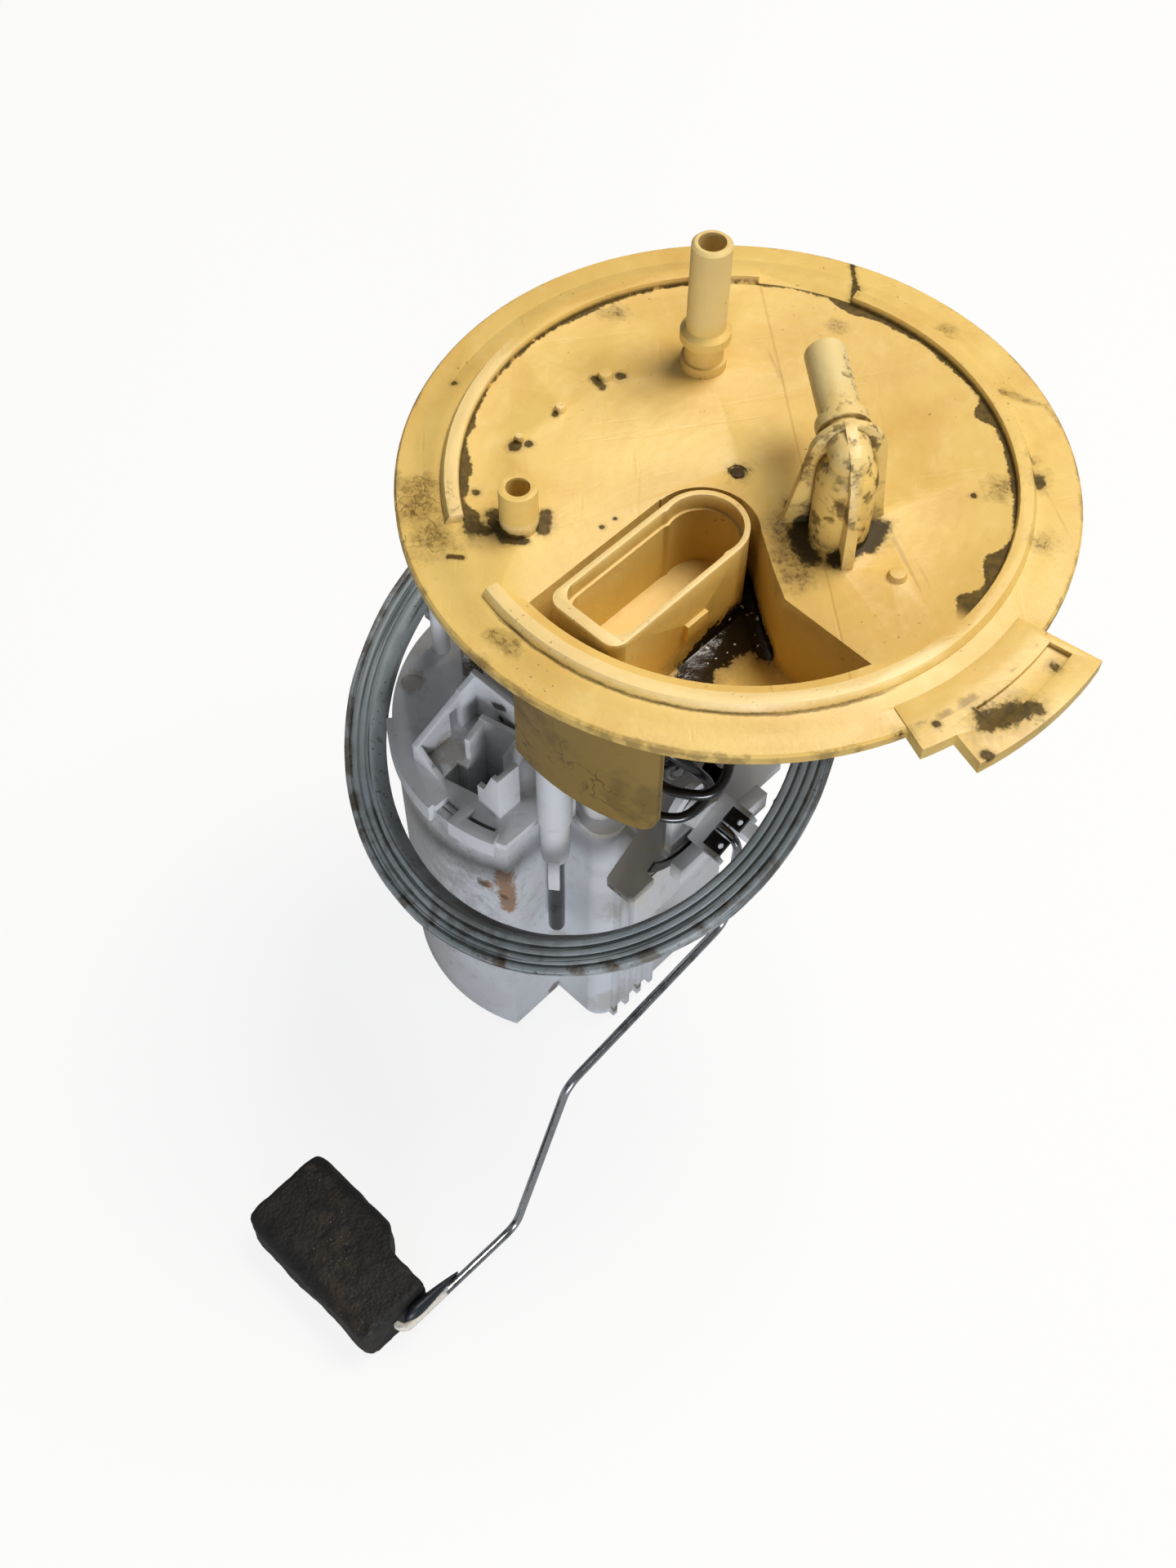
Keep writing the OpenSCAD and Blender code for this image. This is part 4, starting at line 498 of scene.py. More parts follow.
def dark(name, code, rough, dust="#5A5348", dusty=0.3, size_mm=3.0, depth=0.05, coat=0.0):
    """Dark plastic or rubber with dust, rubbed patches and a fine texture."""
    m, t, s, place = blank(name, **{"Coat Weight": coat, "Coat Roughness": 0.15})
    mid, fine = noise(t, place, size_mm, 6.0), noise(t, place, 0.6, 3.0)
    mask = times(t, soft(t, mid, 0.52, 0.74), dusty)
    t.links.new(over(t, mask, lin(code), lin(dust)), s.inputs["Base Color"])
    t.links.new(calc(t, "MULTIPLY_ADD", mid, 0.3, rough - 0.15), s.inputs["Roughness"])
    bump(t, s, calc(t, "ADD", fine, mid), depth, 0.6)
    return m


def seal_rubber(look):
    """Nitrile rubber seal: grey and chalky, with black flow lines, scuffs, dirt on its edges and painted
    shade on the lip round its hole, strongest on the right.
    """
    m, t, s, place = blank("Aged nitrile rubber, moulded", **{"IOR": 1.5})
    x, y, _ = split(t, place)
    tilt = add(t, VMATH, {0: place, 1: tuple(v * MM for v in RING["centre"])}, operation="SUBTRACT")
    axis = add(t, VMATH, {0: tilt, 1: RING["normal"]}, out="Value", operation="DOT_PRODUCT")
    full = add(t, VMATH, {0: tilt}, out="Value", operation="LENGTH")
    r = times(t, calc(t, "SQRT", calc(t, "SUBTRACT", times(t, full, full), times(t, axis, axis))), PER_M)
    mid, fine = noise(t, place, 6.0, 6.0), noise(t, place, 1.0, 4.0)
    ragged = calc(t, "MULTIPLY_ADD", mid, 2.0, -1.0)
    base = over(t, soft(t, noise(t, place, 30.0, 3.0), 0.35, 0.65), lin(look.rubber), lin(look.rubber_dull))
    chalk = soft(t, noise(t, place, 2.6, 6.0), 0.5, 0.72)
    base = tint(t, base, chalk, 0.35, "#A9AFAC")
    # painted shade: the lip round the hole darkened, most on the right where the flange shades it
    inner_lip_shade = soft(t, calc(t, "MULTIPLY_ADD", ragged, 1.0, r), 52.4, 51.4)
    edge = soft(t, calc(t, "MULTIPLY_ADD", ragged, 2.0, r), 57.0, 58.6)
    right = soft(t, x, -0.03, 0.0, 0.35, 0.9)
    base = tint(t, base, inner_lip_shade, right, "#23262A")
    base = tint(t, base, times(t, edge, soft(t, mid, 0.42, 0.6)), 0.7, "#5A4426")
    specks = times(t, soft(t, noise(t, place, 1.2, 4.0), 0.6, 0.66), most(t, edge, soft(t, r, 53.0, 51.8)),
                   soft(t, noise(t, place, 14.0, 3.0), 0.4, 0.55))
    base = tint(t, base, specks, 0.8, "#4A3214")
    low = times(t, soft(t, y, -0.05, -0.075), soft(t, mid, 0.44, 0.62))
    base = tint(t, base, low, 0.6, "#4E3B22")
    lines = soft(t, add(t, "ShaderNodeTexNoise",
                        {"Vector": add(t, "ShaderNodeCombineXYZ", {0: times(t, r, 0.5), 1: times(t, x, 8.0),
                                2: times(t, y, 8.0)}), "Scale": 2.4, "Detail": 2.0}), 0.6, 0.66)
    base = tint(t, base, lines, 0.65, "#2A2D2E")
    t.links.new(base, s.inputs["Base Color"])
    t.links.new(calc(t, "MULTIPLY_ADD", mid, 0.35, 0.36), s.inputs["Roughness"])
    bump(t, s, calc(t, "SUBTRACT", calc(t, "ADD", fine, mid), lines), 0.12, 0.7)
    return m


def float_foam():
    """Closed-cell nitrile foam float: near black, pitted, with dried brown and cream flecks."""
    m, t, s, place = blank("Closed-cell foam, moulded")
    mid, fine = noise(t, place, 3.2, 6.0), noise(t, place, 0.9, 5.0)
    pits = add(t, "ShaderNodeTexVoronoi", {"Vector": place, "Scale": 1100.0}, out="Distance")
    x, y, _ = split(t, place)
    strip = calc(t, "MULTIPLY_ADD", x, 0.62, calc(t, "MULTIPLY_ADD", y, 1.0, 0.1262))
    lane = soft(t, calc(t, "ABSOLUTE", strip), 0.001, 0.009, 1.0, 0.05)
    base = over(t, soft(t, mid, 0.45, 0.7), lin("#0A0A09"), lin("#141310"))
    base = tint(t, base, times(t, lane, soft(t, mid, 0.38, 0.62)), 0.5, "#3A2E1F")
    flecks = times(t, soft(t, noise(t, place, 1.1, 5.0), 0.62, 0.7), lane)
    base = tint(t, base, flecks, 0.6, "#5E4B30")
    bright = times(t, soft(t, noise(t, place, 0.6, 4.0), 0.68, 0.73), lane)
    base = tint(t, base, bright, 0.7, "#CBBFA2")
    t.links.new(base, s.inputs["Base Color"])
    t.links.new(calc(t, "MULTIPLY_ADD", fine, 0.3, 0.5), s.inputs["Roughness"])
    bump(t, s, calc(t, "MULTIPLY_ADD", pits, 1.2, fine), 0.16, 0.8)
    return m


def float_wire():
    """Drawn steel wire of the float: bright, with dark streaks and a dried cream crust near its end."""
    m, t, s, place = blank("Drawn steel wire")
    _, y, z = split(t, place)
    mid, fine = noise(t, place, 4.0, 6.0), noise(t, place, 0.5, 3.0, stretch=(1, 0.2, 0.2))
    crust = times(t, soft(t, calc(t, "MULTIPLY_ADD", calc(t, "SUBTRACT", mid, 0.5), 0.02, y), -0.1145,
                          -0.1165), soft(t, z, -0.15, -0.16))
    stain = times(t, soft(t, mid, 0.5, 0.68), 0.55)
    base = over(t, stain, lin("#B9BDC1"), lin("#3A342B"))
    base = over(t, times(t, crust, soft(t, noise(t, place, 1.2, 4.0), 0.3, 0.5)), base, lin("#DAD6CA"))
    t.links.new(base, s.inputs["Base Color"])
    t.links.new(calc(t, "MULTIPLY_ADD", crust, -0.9, 1.0), s.inputs["Metallic"])
    t.links.new(calc(t, "MULTIPLY_ADD", crust, 0.45, calc(t, "MULTIPLY_ADD", mid, 0.3, 0.08)),
                s.inputs["Roughness"])
    bump(t, s, calc(t, "ADD", fine, times(t, times(t, crust, noise(t, place, 1.0, 4.0)), 3.0)), 0.12, 0.6)
    return m


def hose_amber():
    """Corrugated polyamide hose, extruded: clear amber gone olive, with painted shade in its grooves."""
    m, t, s, place = blank("Amber polyamide, extruded", **{"IOR": 1.53, "Transmission Weight": 0.0,
            "Coat Weight": 0.4, "Coat Roughness": 0.12})
    mid = noise(t, place, 6.0, 5.0)
    base = over(t, soft(t, mid, 0.4, 0.68), lin("#8C6A2A"), lin("#574520"))
    # painted shade in the grooves
    base = tint(t, base, soft(t, creases(t, 2.0), 0.25, 0.75), 0.8, "#241A0C")
    t.links.new(base, s.inputs["Base Color"])
    t.links.new(calc(t, "MULTIPLY_ADD", mid, 0.25, 0.16), s.inputs["Roughness"])
    bump(t, s, noise(t, place, 1.2, 4.0), 0.04, 0.5)
    return m


FINISHES = {}
RING = {"centre": (-19.5, -22.3, -70.5), "normal": tuple(Euler((math.radians(28.8), math.radians(-5.95),
        0)).to_matrix() @ Vector((0, 0, 1)))}
LID_STAINS = (
    ([(-60.2, -37.1, -84.5, 4.6), (-60.2, -37.1, -84.5, 3.6), (-39, -44, -84.5, 6.0)], "#8B7E60", 0.5),
    ([(-48.6, -28.2, -84, 5.0, -48.6, -28.2, -60)], "#57492E", 0.9),
    ([(8, -40, -86, 16.0)], "#DDD0B0", 0.5),
    ([(11, -44.6, -86, 1.6), (13.6, -44.8, -86.6, 1.3), (9.6, -44.2, -86.6, 1.0)], "#4E3A20", 0.8),
    ([(-36.5, -33.0, -75, 1.6, -33.5, -33.0, -73.5), (-34.5, -33.0, -78.5, 1.3), (-22.0, -46.0, -76, 1.4),
      (-28.0, -33.0, -72, 1.3), (-38, -50, -82, 1.6)], "#3A2814", 0.9))
POT_STAINS_AND_SHADE = (
    ([(-13.6, -53.6, -98, 3.2, -12.8, -52.8, -113), (-17.5, -55.6, -105, 2.8)], "#93642F", 0.85),
    # painted shade: a broad grey film darkens the pot's left side, which the lamps leave in shade
    ([(-64, -62, -112, 64)], "#6E6C64", 0.5),
    ([(2.6, -33.5, -168, 9), (2.6, -30, -120, 8), (-12, -37.6, -150, 12), (2.6, -16, -150, 10)],
     "#A5A093", 0.5),
    ([(-18.5, -55.8, -105.5, 2.4), (-13.6, -53.4, -108, 1.6), (4.6, -33, -172, 2.6), (4.6, -24, -171, 2.4),
      (-12.4, -40, -172, 3.0)], "#4E3A20", 0.8))


def build_finishes(look):
    """One material per slot of the record."""
    f = FINISHES
    f["acetal_yellow"] = acetal_yellow(look)
    f["pom_white"] = moulded("Natural white acetal, moulded pot", look.white, "#8C8579", "#C9CACB", 0.6,
                             POT_STAINS_AND_SHADE, 0.5)
    f["pom_lid"] = moulded("Natural white acetal, moulded lid", look.lid, "#6A6154", "#DADBDA", 0.7,
                           LID_STAINS, 0.75)
    f["jet_white"] = moulded("White acetal, moulded jet", "#CFD1D3", "#6A6154", "#BDBFC0", 0.8)
    f["poppet_tan"] = moulded("Tan acetal, moulded valve", "#B9A070", "#6B5836", "#A99062", 0.5)
    f["seal_rubber"] = seal_rubber(look)
    f["float_foam"] = float_foam()
    f["arm_steel"] = float_wire()
    f["hose_amber"] = hose_amber()
    f["terminal_plate"] = metal("Tin-plated brass, stamped", "#B9A878", 0.42, "#4A3A20", 0.6)
    f["rod_steel"] = metal("Steel rod, centreless ground", "#63666A", 0.22, "#1E1B18", 0.5, (1, 1, 14))
    f["spring_steel"] = metal("Spring steel, cold coiled", "#8A8C8E", 0.4, "#2E2620", 0.7)
    f["can_steel"] = metal("Zinc-plated steel, drawn can", "#A8ABAD", 0.38, "#4A463E", 0.45, (8, 8, 1))
    f["cast_alloy"] = metal("Aluminium alloy, die cast", "#AEB0B1", 0.5, "#4A4740", 0.4)
    f["copper_bar"] = metal("Copper, turned commutator", "#B8733F", 0.35, "#2A1A10", 0.5, (8, 8, 1))
    f["copper_wound"] = dark("Enamelled copper winding, varnished", "#6E3418", 0.35, "#2A1A12", 0.6, 2.0, 0.3,
                             0.4)
    f["ferrite"] = dark("Ferrite magnet, sintered", "#26272A", 0.6, "#4A4A4C", 0.3)
    f["phenolic"] = dark("Phenolic resin, moulded wheel", "#3A2A20", 0.5, "#5A4634", 0.3)
    f["carbon"] = dark("Carbon brush, pressed", "#1B1B1D", 0.6, "#3A3A3C", 0.4)
    f["cap_black"] = dark("Glass-filled nylon, moulded cap", "#1D1F21", 0.5, "#4A4740", 0.35)
    f["isolator_rubber"] = dark("Isolator rubber, moulded", "#191A1B", 0.7, "#4A453C", 0.4)
    f["strainer_mesh"] = moulded("Nylon mesh, woven strainer", "#D2CBB6", "#5A4A30", "#B9AE92", 0.9)
    f["valve_rubber"] = dark("Valve rubber, moulded", "#1B1D1F", 0.65)
    f["plug_black"] = dark("Nylon plug, moulded", "#151618", 0.45, "#4A3E2C", 0.4, 3.0, 0.05, 0.2)
    f["lead_black"] = dark("Fuel-proof wire insulation, extruded", "#111214", 0.3, "#3A3226", 0.35, 5.0, 0.03,
                           0.6)
    f["card_ceramic"] = dark("Ceramic resistor card, screen printed", "#30302C", 0.4, "#6A6658", 0.4, 1.2)
    f["contact_black"] = dark("Contact carrier, moulded", "#151617", 0.5, "#6A6252", 0.45)
    f["clip_blue"] = dark("Blue-black nylon clip, moulded", "#1B232B", 0.45, "#56524A", 0.4)


# Shapes

def finish_piece(o, slot, body, nodes, smooth=35.0):
    """Shades a new piece, gives it its slot's finish, and puts it on its body in place of its CAD nodes."""
    pick(o)
    bpy.ops.object.shade_smooth_by_angle(angle=math.radians(smooth))
    o.data.materials.clear()
    o.data.materials.append(FINISHES[slot])
    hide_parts(*nodes)
    if isinstance(body, str):
        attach(o, body)
    else:
        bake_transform(o)
    return o


def pick(*objects):
    """Only these objects selected, the last one active."""
    bpy.ops.object.select_all(action="DESELECT")
    for o in objects:
        o.select_set(True)
        bpy.context.view_layer.objects.active = o


def apply_all(o):
    """Applies every modifier of a piece, in order."""
    pick(o)
    for m in list(o.modifiers):
        bpy.ops.object.modifier_apply(modifier=m.name)


def in_scene(name, data):
    """A new object of the scene with this mesh."""
    o = bpy.data.objects.new(name, data)
    bpy.context.scene.collection.objects.link(o)
    return o


def add_bevel(o, edge_mm, steps=2):
    """Rounds the sharp edges of a piece."""
    bevel = o.modifiers.new("edges", "BEVEL")
    bevel.limit_method = "ANGLE"
    bevel.angle_limit = SHARP
    bevel.width = edge_mm * MM
    bevel.segments = steps
    return bevel


def add_lumps(o, name, scale, depth_mm, middle):
    """Makes the surface of a piece uneven."""
    texture = bpy.data.textures.new(name, "CLOUDS")
    texture.noise_scale = scale
    wave = o.modifiers.new(name, "DISPLACE")
    wave.texture = texture
    wave.texture_coords = "LOCAL"
    wave.strength = depth_mm * MM
    wave.mid_level = middle


def merged_copy(node, name, merge_mm=0.02):
    """A copy of a CAD node's mesh with its loose triangles joined and its flat faces made whole."""
    data = NODES[node].data.copy()
    data.name = name
    o = in_scene(name, data)
    b = bmesh.new()
    b.from_mesh(data)
    bmesh.ops.remove_doubles(b, verts=b.verts, dist=merge_mm * MM)
    bmesh.ops.dissolve_limit(b, angle_limit=math.radians(0.6), verts=b.verts, edges=b.edges)
    bmesh.ops.recalc_face_normals(b, faces=b.faces)
    b.to_mesh(data)
    b.free()
    return o


def softened(node, slot, body, edge_mm, steps=2, merge_mm=0.06):
    """The CAD shape with rounded edges, as the moulding has."""
    o = merged_copy(node, node + "_soft", merge_mm)
    bevel = add_bevel(o, edge_mm, steps)
    bevel.use_clamp_overlap = True
    bevel.miter_outer = "MITER_ARC"
    even = o.modifiers.new("even", "WEIGHTED_NORMAL")
    even.keep_sharp = True
    apply_all(o)
    return finish_piece(o, slot, body, [node])


def curve(points, steps):
    """Points on a smooth line through the given ones, in mm."""
    p = [Vector(q) for q in points]
    p = [2 * p[0] - p[1]] + p + [2 * p[-1] - p[-2]]
    out = []
    for i in range(1, len(p) - 2):
        for k in range(steps):
            u = k / steps
            a, b, c, d = p[i - 1:i + 3]
            square, cube = 2 * a - 5 * b + 4 * c - d, 3 * b - a - 3 * c + d
            out.append(0.5 * (2 * b + (c - a) * u + square * u * u + cube * u ** 3))
    return out + [p[-2]]


def cornered(points, bend, steps=8):
    """A line through the points whose corners are arcs of about that radius, in mm."""
    p = [Vector(q) for q in points]
    out = [p[0]]
    for a, b, c in zip(p, p[1:], p[2:]):
        u, v = (a - b).normalized(), (c - b).normalized()
        for k in range(steps + 1):
            w = k / steps
            out.append(b + u * bend * (1 - w) ** 2 + v * bend * w ** 2)
    return out + [p[-1]]


def swept(name, line, radii, sides=16):
    """A closed round tube along a line, with its own radius at each point; ends closed with flat caps."""
    b = bmesh.new()
    up = (line[1] - line[0]).orthogonal().normalized()
    rings = []
    for i, q in enumerate(line):
        ahead = (line[min(i + 1, len(line) - 1)] - line[max(i - 1, 0)]).normalized()
        up = (up - ahead * up.dot(ahead)).normalized()
        side = ahead.cross(up)
        rings.append([b.verts.new((q + (up * math.cos(a) + side * math.sin(a)) * radii[i]) * MM)
                      for a in (2 * math.pi * k / sides for k in range(sides))])
    for one, two in zip(rings, rings[1:]):
        for k in range(sides):
            b.faces.new((one[k], one[(k + 1) % sides], two[(k + 1) % sides], two[k]))
    for ring, flip in ((rings[0], True), (rings[-1], False)):
        b.faces.new(list(reversed(ring)) if flip else ring)
    bmesh.ops.recalc_face_normals(b, faces=b.faces)
    data = bpy.data.meshes.new(name)
    b.to_mesh(data)
    b.free()
    return in_scene(name, data)


def resampled(line, step):
    """Points at even distances along a line, in mm."""
    out, left = [line[0].copy()], step
    for a, b in zip(line, line[1:]):
        span, at = (b - a).length, 0.0
        while span - at >= left:
            at += left
            out.append(a + (b - a) * (at / span))
            left = step
        left -= span - at
    return out


def hose(node, points, radius, pitch, plain_mm, span):
    """A corrugated hose with smooth cuffs at both ends."""
    line = resampled(curve(points, 24), pitch / 6)
    last = len(line) - 1
    cuff = plain_mm / (pitch / 6)
    wave = (0.0, 0.62, 1.0, 1.0, 0.62, 0.0)
    inset, groove, rib = 0.1, 0.75, 1.2
    radii = []
    for i in range(last + 1):
        plain = i < cuff or i > last - cuff
        radii.append(radius - inset if plain else radius - groove + rib * wave[i % 6])
    o = swept(node + "_ribbed", line, radii, 28)
    return finish_piece(o, "hose_amber", span, [node], 50)


class MOULD_OT_build(bpy.types.Operator):
    """The moulded pieces of flange, pot, lid and sender with rounded edges"""
    bl_idname = "pumpset.moulded"
    bl_label = "Moulded pieces"

    def execute(self, context):
        size = context.scene.pump_mould
        for node, slot, body, edge in (
                ("flange_cover", "acetal_yellow", "flange", size.flange_edge),
                ("reservoir_pot", "pom_white", "reservoir", size.pot_edge),
                ("holder_lid", "pom_lid", "reservoir", size.lid_edge),
                ("sender_frame", "pom_lid", "reservoir", size.lid_edge),
                ("arm_hub", "pom_lid", "arm", size.lid_edge),
                ("wiper", "contact_black", "arm", 0.12),
                ("flange_plug", "plug_black", "flange", size.lid_edge)):
            softened(node, slot, body, edge)
        return {"FINISHED"}


class RING_OT_build(bpy.types.Operator):
    """The loose seal ring, its rubber a little wavy"""
    bl_idname = "pumpset.ring"
    bl_label = "Seal ring"

    def execute(self, context):
        size = context.scene.pump_ring
        o = merged_copy("seal_ring", "seal_ring_rubber", 0.02)
        add_bevel(o, size.edge)
        add_lumps(o, "rubber_lumps", 0.012, size.lumps, 0.5)
        apply_all(o)
        finish_piece(o, "seal_rubber", "reservoir", ["seal_ring"])
        return {"FINISHED"}


class FLOAT_OT_build(bpy.types.Operator):
    """The foam float with its soft, uneven corners, its wire and its clip"""
    bl_idname = "pumpset.float"
    bl_label = "Float and wire"

    def execute(self, context):
        size = context.scene.pump_float
        o = merged_copy("float_block", "float_block_foam", 0.02)
        mesh = o.modifiers.new("even", "REMESH")
        mesh.mode = "VOXEL"
        mesh.voxel_size = size.cell * MM
        soft_edges = o.modifiers.new("soft", "SMOOTH")
        soft_edges.factor = 0.5
        soft_edges.iterations = 7
        for name, scale, depth in (("foam_lumps", 0.011, size.lumps), ("foam_pits", 0.0022, size.pits)):
            add_lumps(o, name, scale, depth, 0.55)
        apply_all(o)
        finish_piece(o, "float_foam", "arm", ["float_block"], 60)
        line = cornered(ARM_POINTS, size.bend, 10) + [Vector(p) for p in WIRE_HOOK]
        line = resampled(line, 0.7)
        last = len(line) - 1
        radii = [size.wire / 2 - (0.35 if i in (0, last) else 0.0) for i in range(last + 1)]
        o = swept("float_wire_drawn", line, radii, 20)
        finish_piece(o, "arm_steel", "arm", ["float_arm"], 50)
        # the clip is a leaf: round at the wire's end, pointed towards the arm, flat on the float
        start, end = Vector(LEAF[0]), Vector(LEAF[1])
        steps, widest, narrowing = 28, 0.24, 0.88
        shares = [k / steps for k in range(steps + 1)]
        blunt = [math.sqrt(max(1 - (1 - min(u / widest, 1.0)) ** 2, 0.01)) for u in shares]
        point = [1 - narrowing * max((u - widest) / (1 - widest), 0.0) ** 1.5 for u in shares]
        radii = [size.clip * a * b for a, b in zip(blunt, point)]
        o = swept("float_clip_leaf", [start.lerp(end, u) for u in shares], radii, 32)
        for v in o.data.vertices:
            v.co.x = start.x * MM + (v.co.x - start.x * MM) * size.clip_flat
        finish_piece(o, "clip_blue", "arm", ["float_clip"], 60)
        return {"FINISHED"}


class HOSE_OT_build(bpy.types.Operator):
    """Corrugated hoses and the leads between flange and reservoir"""
    bl_idname = "pumpset.hoses"
    bl_label = "Hoses and leads"

    def execute(self, context):
        size = context.scene.pump_hose
        for node, points in HOSES.items():
            low = points[-1]
            hose(node, points, size.radius, size.pitch, size.cuff,
                 (place_of(0, 0, -18), place_of(0, 0, low[2] + 12)))
        for node, pair in LEADS.items():
            made = []
            for k, points in enumerate(pair):
                line = resampled(curve(points, 20), 0.9)
                last = len(line) - 1
                radii = [size.lead * (0.9 if i in (0, last) else 1.0) for i in range(last + 1)]
                made.append(swept("%s_wire_%d" % (node, k + 1), line, radii, 14))
            pick(*reversed(made))
            bpy.ops.object.join()
            finish_piece(bpy.context.active_object, "lead_black", (place_of(0, 0, -28), place_of(0, 0, -76)),
                         [node], 60)
        return {"FINISHED"}


class SPRING_OT_build(bpy.types.Operator):
    """The guide springs, coiled wire with closed ground ends"""
    bl_idname = "pumpset.springs"
    bl_label = "Springs"

    def execute(self, context):
        size = context.scene.pump_spring
        for node in ("spring_front", "spring_rear"):
            low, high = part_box(node)
            mid = [(low[i] + high[i]) * PER_M / 2 for i in range(2)]
            z0, z1 = low[2] * PER_M + size.wire / 2, high[2] * PER_M - size.wire / 2
            count = int(size.turns * 32)
            closed, free = 0.11, 0.78
            line = []
            for k in range(count + 1):
                u = k / count
                ease = min(1.0, max(0.0, (u - closed) / free))
                a = 2 * math.pi * size.turns * u
                rise = z0 + (z1 - z0) * (0.04 * u + 0.96 * ease)
                x, y = mid[0] + size.radius * math.cos(a), mid[1] + size.radius * math.sin(a)
                line.append(Vector((x, y, rise)))
            o = swept(node + "_coil", line, [size.wire / 2] * len(line), 12)
            finish_piece(o, "spring_steel", (place_of(mid[0], mid[1], z1), place_of(mid[0], mid[1], z0)),
                         [node], 60)
        return {"FINISHED"}


def place_of(x, y, z):
    """Millimetres as a place in metres."""
    return (x * MM, y * MM, z * MM)


ARM_POINTS = [(20.2, -22.7, -72.2), (28, -22.7, -72.2), (28, -23.9, -106.2), (28, -75.2, -114.8),
              (28, -93.3, -167.3), (28, -128, -165.4)]
WIRE_HOOK = [(27.8, -128.8, -165.35), (27.1, -129.6, -165.3), (26.2, -130.0, -165.2), (25.2, -130.0, -165.1)]
LEAF = [(26.7, -128.2, -165.2), (26.7, -111.4, -166.0)]
HOSES = {
    "feed_hose": [(-24.3, 17.2, -3.4), (-24.3, 17.2, -18), (-24.6, 15.5, -30), (-25.4, 9.5, -44),
                  (-26.3, 3.6, -56), (-26.5, 2.5, -66), (-26.5, 2.5, -78)],
    "return_hose": [(23, 2, -3.4), (23, 2, -18), (22.2, -4, -31), (17, -16, -43.5), (7, -25.5, -52),
                    (-3, -30, -60), (-5.4, -30.6, -68), (-5.4, -30.6, -80)],
}
TOP = -26.6
LEADS = {
    "pump_leads": (
        [(7.3, -38, TOP), (8, -38.5, TOP - 6), (18, -35, -37), (24, -30, -47), (24, -37, -50.5),
         (17, -41.5, -51), (6, -38, -55.5),
         (4.6, -34.5, -61), (4, -30, -67), (-3, -19.5, -73.4), (-10, -16.4, -76.6), (-14.6, -15, -79),
         (-15, -15, -83.9)],
        [(7.3, -31, TOP), (8, -31, TOP - 6), (17, -29, -33), (24.5, -25.5, -41), (26.5, -32, -44.6),
         (19, -37, -45.8), (10, -34.5, -49.5),
         (9.2, -32.8, -55), (9, -30, -61), (5, -24, -68), (-1, -14.5, -73.2), (-7, -9.6, -76.2),
         (-10.7, -8, -79), (-11, -8, -83.9)]),
    "level_leads": (
        [(7.3, -24, TOP), (8, -23.5, TOP - 6), (16, -21.5, -36), (19.5, -27, -41.5), (15, -32.4, -46),
         (13.6, -30.6, -53), (12.8, -26.6, -58),
         (9.6, -21, -63), (7, -14, -66), (5.8, -5, -72), (5.6, -2, -76.5), (5.6, -2, -79.2)],
        [(7.3, -17, TOP), (7, -15, -34), (7, -12, -44), (8, -7, -56), (7, -1, -66), (5.6, 2, -74),
         (5.6, 2, -79.2)]),
}


# Sizes and colours that the panel shows

class MouldSizes(bpy.types.PropertyGroup):
    flange_edge: FloatProperty(name="Flange edges",
                               description="Rounding of the flange's edges, in millimetres", default=0.5)
    pot_edge: FloatProperty(name="Pot edges", description="Rounding of the pot's edges, in millimetres",
                            default=0.35)
    lid_edge: FloatProperty(name="Lid edges",
                            description="Rounding of the lid's and sender's edges, in millimetres",
                            default=0.25)


class RingSizes(bpy.types.PropertyGroup):
    edge: FloatProperty(name="Ring edges", description="Rounding of the seal ring's edges, in millimetres",
                        default=0.3)
    lumps: FloatProperty(name="Ring lumps", description="How uneven the aged rubber is, in millimetres",
                         default=0.5)


class FloatSizes(bpy.types.PropertyGroup):
    cell: FloatProperty(name="Foam mesh", description="Mesh size of the foam block, in millimetres",
                        default=0.5)
    lumps: FloatProperty(name="Foam lumps",
                         description="Depth of the float's broad unevenness, in millimetres", default=1.1)
    pits: FloatProperty(name="Foam pits", description="Depth of the float's pits, in millimetres",
                        default=0.35)
    bend: FloatProperty(name="Wire bend", description="Bend radius of the float wire, in millimetres",
                        default=4.0)
    wire: FloatProperty(name="Wire", description="Thickness of the float wire, in millimetres", default=2.0)
    clip: FloatProperty(name="Clip", description="Half the width of the float clip, in millimetres",
                        default=3.0)
    clip_flat: FloatProperty(name="Clip flatness",
                             description="Thickness of the clip as a share of its width", default=0.56)


class HoseSizes(bpy.types.PropertyGroup):
    radius: FloatProperty(name="Hose radius", description="Mean outer radius of the hoses, in millimetres",
                          default=5.0)
    pitch: FloatProperty(name="Rib pitch", description="Distance between the hose's ribs, in millimetres",
                         default=2.7)
    cuff: FloatProperty(name="Cuff", description="Length of the smooth ends, in millimetres", default=15.0)
    lead: FloatProperty(name="Lead radius", description="Radius of the wires' insulation, in millimetres",
                        default=1.1)


class SpringSizes(bpy.types.PropertyGroup):
    wire: FloatProperty(name="Spring wire", description="Thickness of the spring wire, in millimetres",
                        default=1.2)
    radius: FloatProperty(name="Coil radius", description="Radius of the coil's middle line, in millimetres",
                          default=3.55)
    turns: FloatProperty(name="Turns", description="Turns of each guide spring", default=7.5)


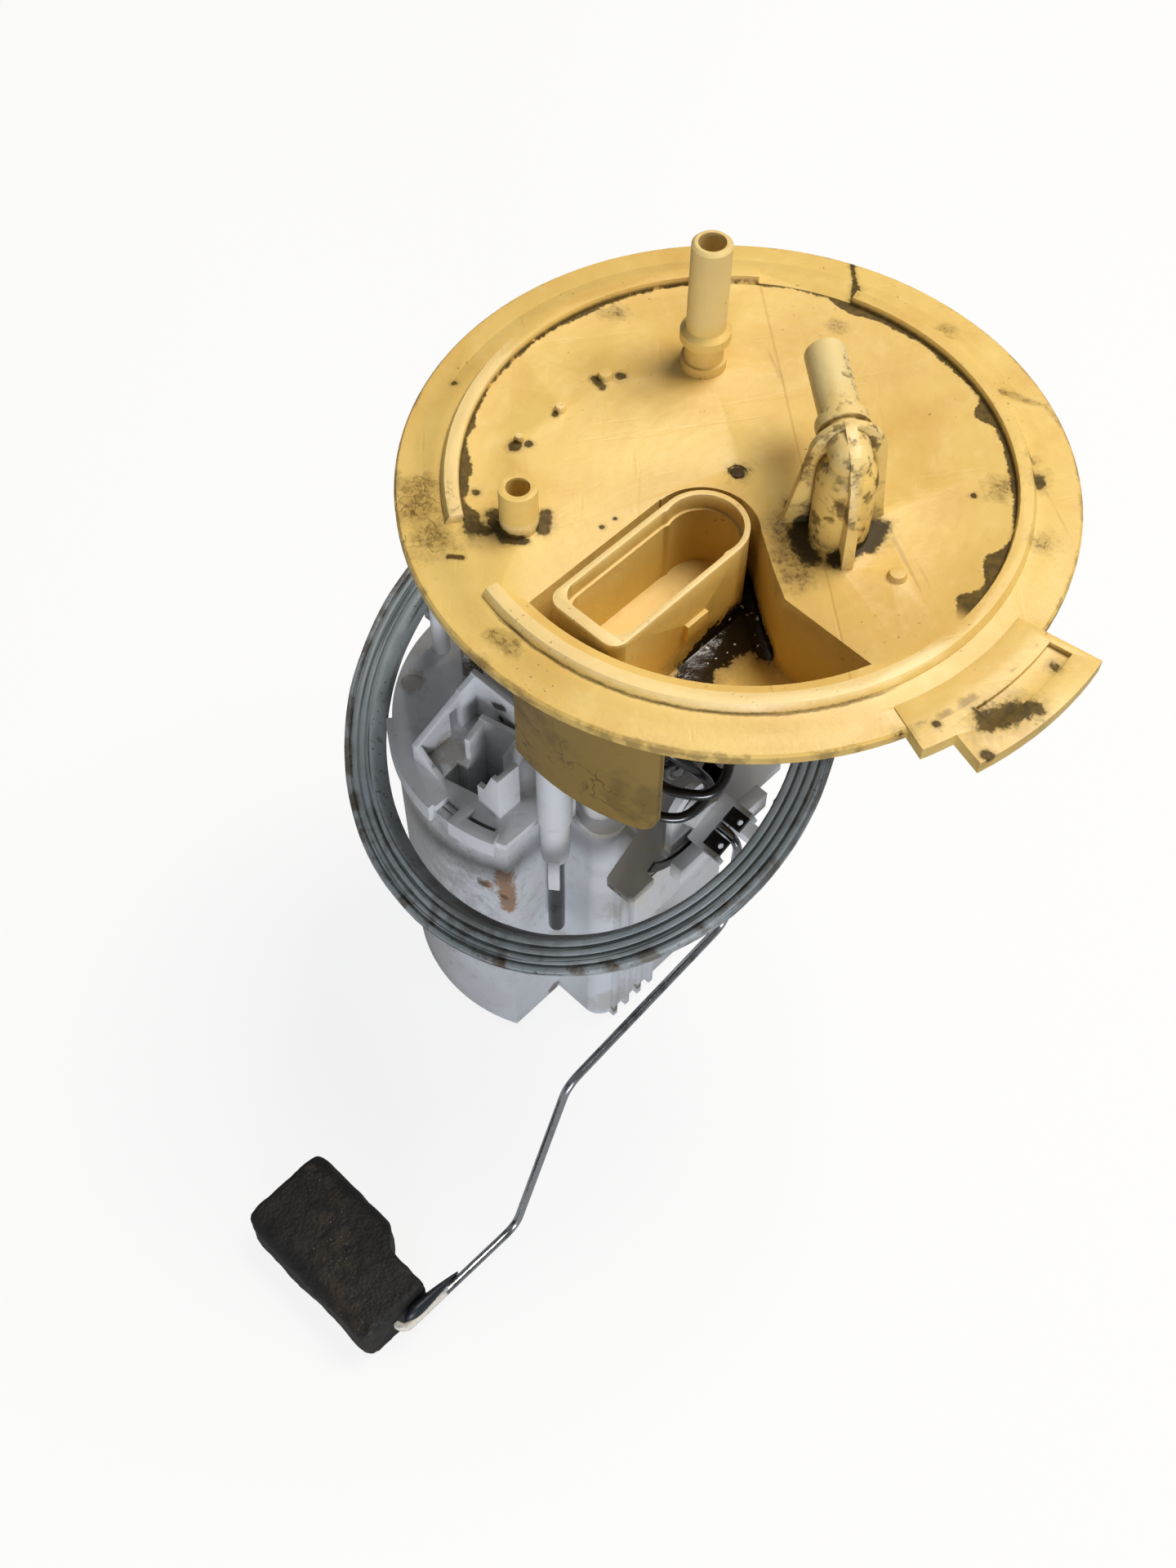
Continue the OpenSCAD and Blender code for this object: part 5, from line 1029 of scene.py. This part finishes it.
class Colours(bpy.types.PropertyGroup):
    acetal: StringProperty(name="Acetal", description="Lit colour of the flange", default="#DDBE6E")
    acetal_dull: StringProperty(name="Acetal, dull", description="Aged patches of the flange",
                                default="#D0AC5D")
    # painted shade: this deeper amber stands for the shade inside the socket and the pocket
    amber: StringProperty(name="Acetal, hollows",
                          description="Deeper colour inside the socket and the pocket", default="#D4B055")
    bleach: StringProperty(name="Bleached acetal", description="Bleached tube of the elbow",
                           default="#D6C28A")
    oil: StringProperty(name="Oil", description="Black oil round the feet", default="#120D09")
    white: StringProperty(name="Pot", description="Natural white of the pot", default="#D3D6DA")
    lid: StringProperty(name="Lid", description="Natural white of the lid", default="#D9DBDE")
    rubber: StringProperty(name="Seal rubber", description="Grey of the seal ring", default="#AAB2B3")
    rubber_dull: StringProperty(name="Seal rubber, dull", description="Darker patches of the seal ring",
                                default="#929B9C")


GROUPS = (("pump_stage", StageSizes), ("pump_mould", MouldSizes), ("pump_ring", RingSizes),
          ("pump_float", FloatSizes),
          ("pump_hose", HoseSizes), ("pump_spring", SpringSizes), ("pump_colours", Colours))


class FINISH_OT_build(bpy.types.Operator):
    """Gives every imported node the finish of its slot"""
    bl_idname = "pumpset.finishes"
    bl_label = "Finishes"

    def execute(self, context):
        build_finishes(context.scene.pump_colours)
        slots = {s["node"]: s["material_slot"] for s in frame["record"]["subparts"]}
        for name, o in NODES.items():
            if not o.material_slots:
                o.data.materials.append(FINISHES[slots[name]])
            for k in o.material_slots:
                k.material = FINISHES[slots[name]]
        return {"FINISHED"}


class PUMP_PT_panel(bpy.types.Panel):
    """Sizes, colours and the steps that dress the module"""
    bl_label = "Fuel pump"
    bl_idname = "PUMP_PT_panel"
    bl_space_type = "VIEW_3D"
    bl_region_type = "UI"
    bl_category = "Fuel pump"

    def draw(self, context):
        for op in STEPS:
            self.layout.operator(op)
        for name, group in GROUPS:
            for key in group.__annotations__:
                self.layout.prop(getattr(context.scene, name), key)


STEPS = ("pumpset.stage", "pumpset.finishes", "pumpset.moulded", "pumpset.ring", "pumpset.float",
         "pumpset.hoses", "pumpset.springs")
CLASSES = tuple(g for _, g in GROUPS) + (STAGE_OT_build, FINISH_OT_build, MOULD_OT_build, RING_OT_build,
        FLOAT_OT_build,
                                        HOSE_OT_build, SPRING_OT_build, PUMP_PT_panel)


def register():
    for c in CLASSES:
        bpy.utils.register_class(c)
    for name, group in GROUPS:
        setattr(bpy.types.Scene, name, PointerProperty(type=group))


def unregister():
    for name, _ in GROUPS:
        delattr(bpy.types.Scene, name)
    for c in reversed(CLASSES):
        bpy.utils.unregister_class(c)


def main():
    register()
    for step in STEPS:
        group, name = step.split(".")
        getattr(getattr(bpy.ops, group), name)()


if __name__ == "__main__":
    main()
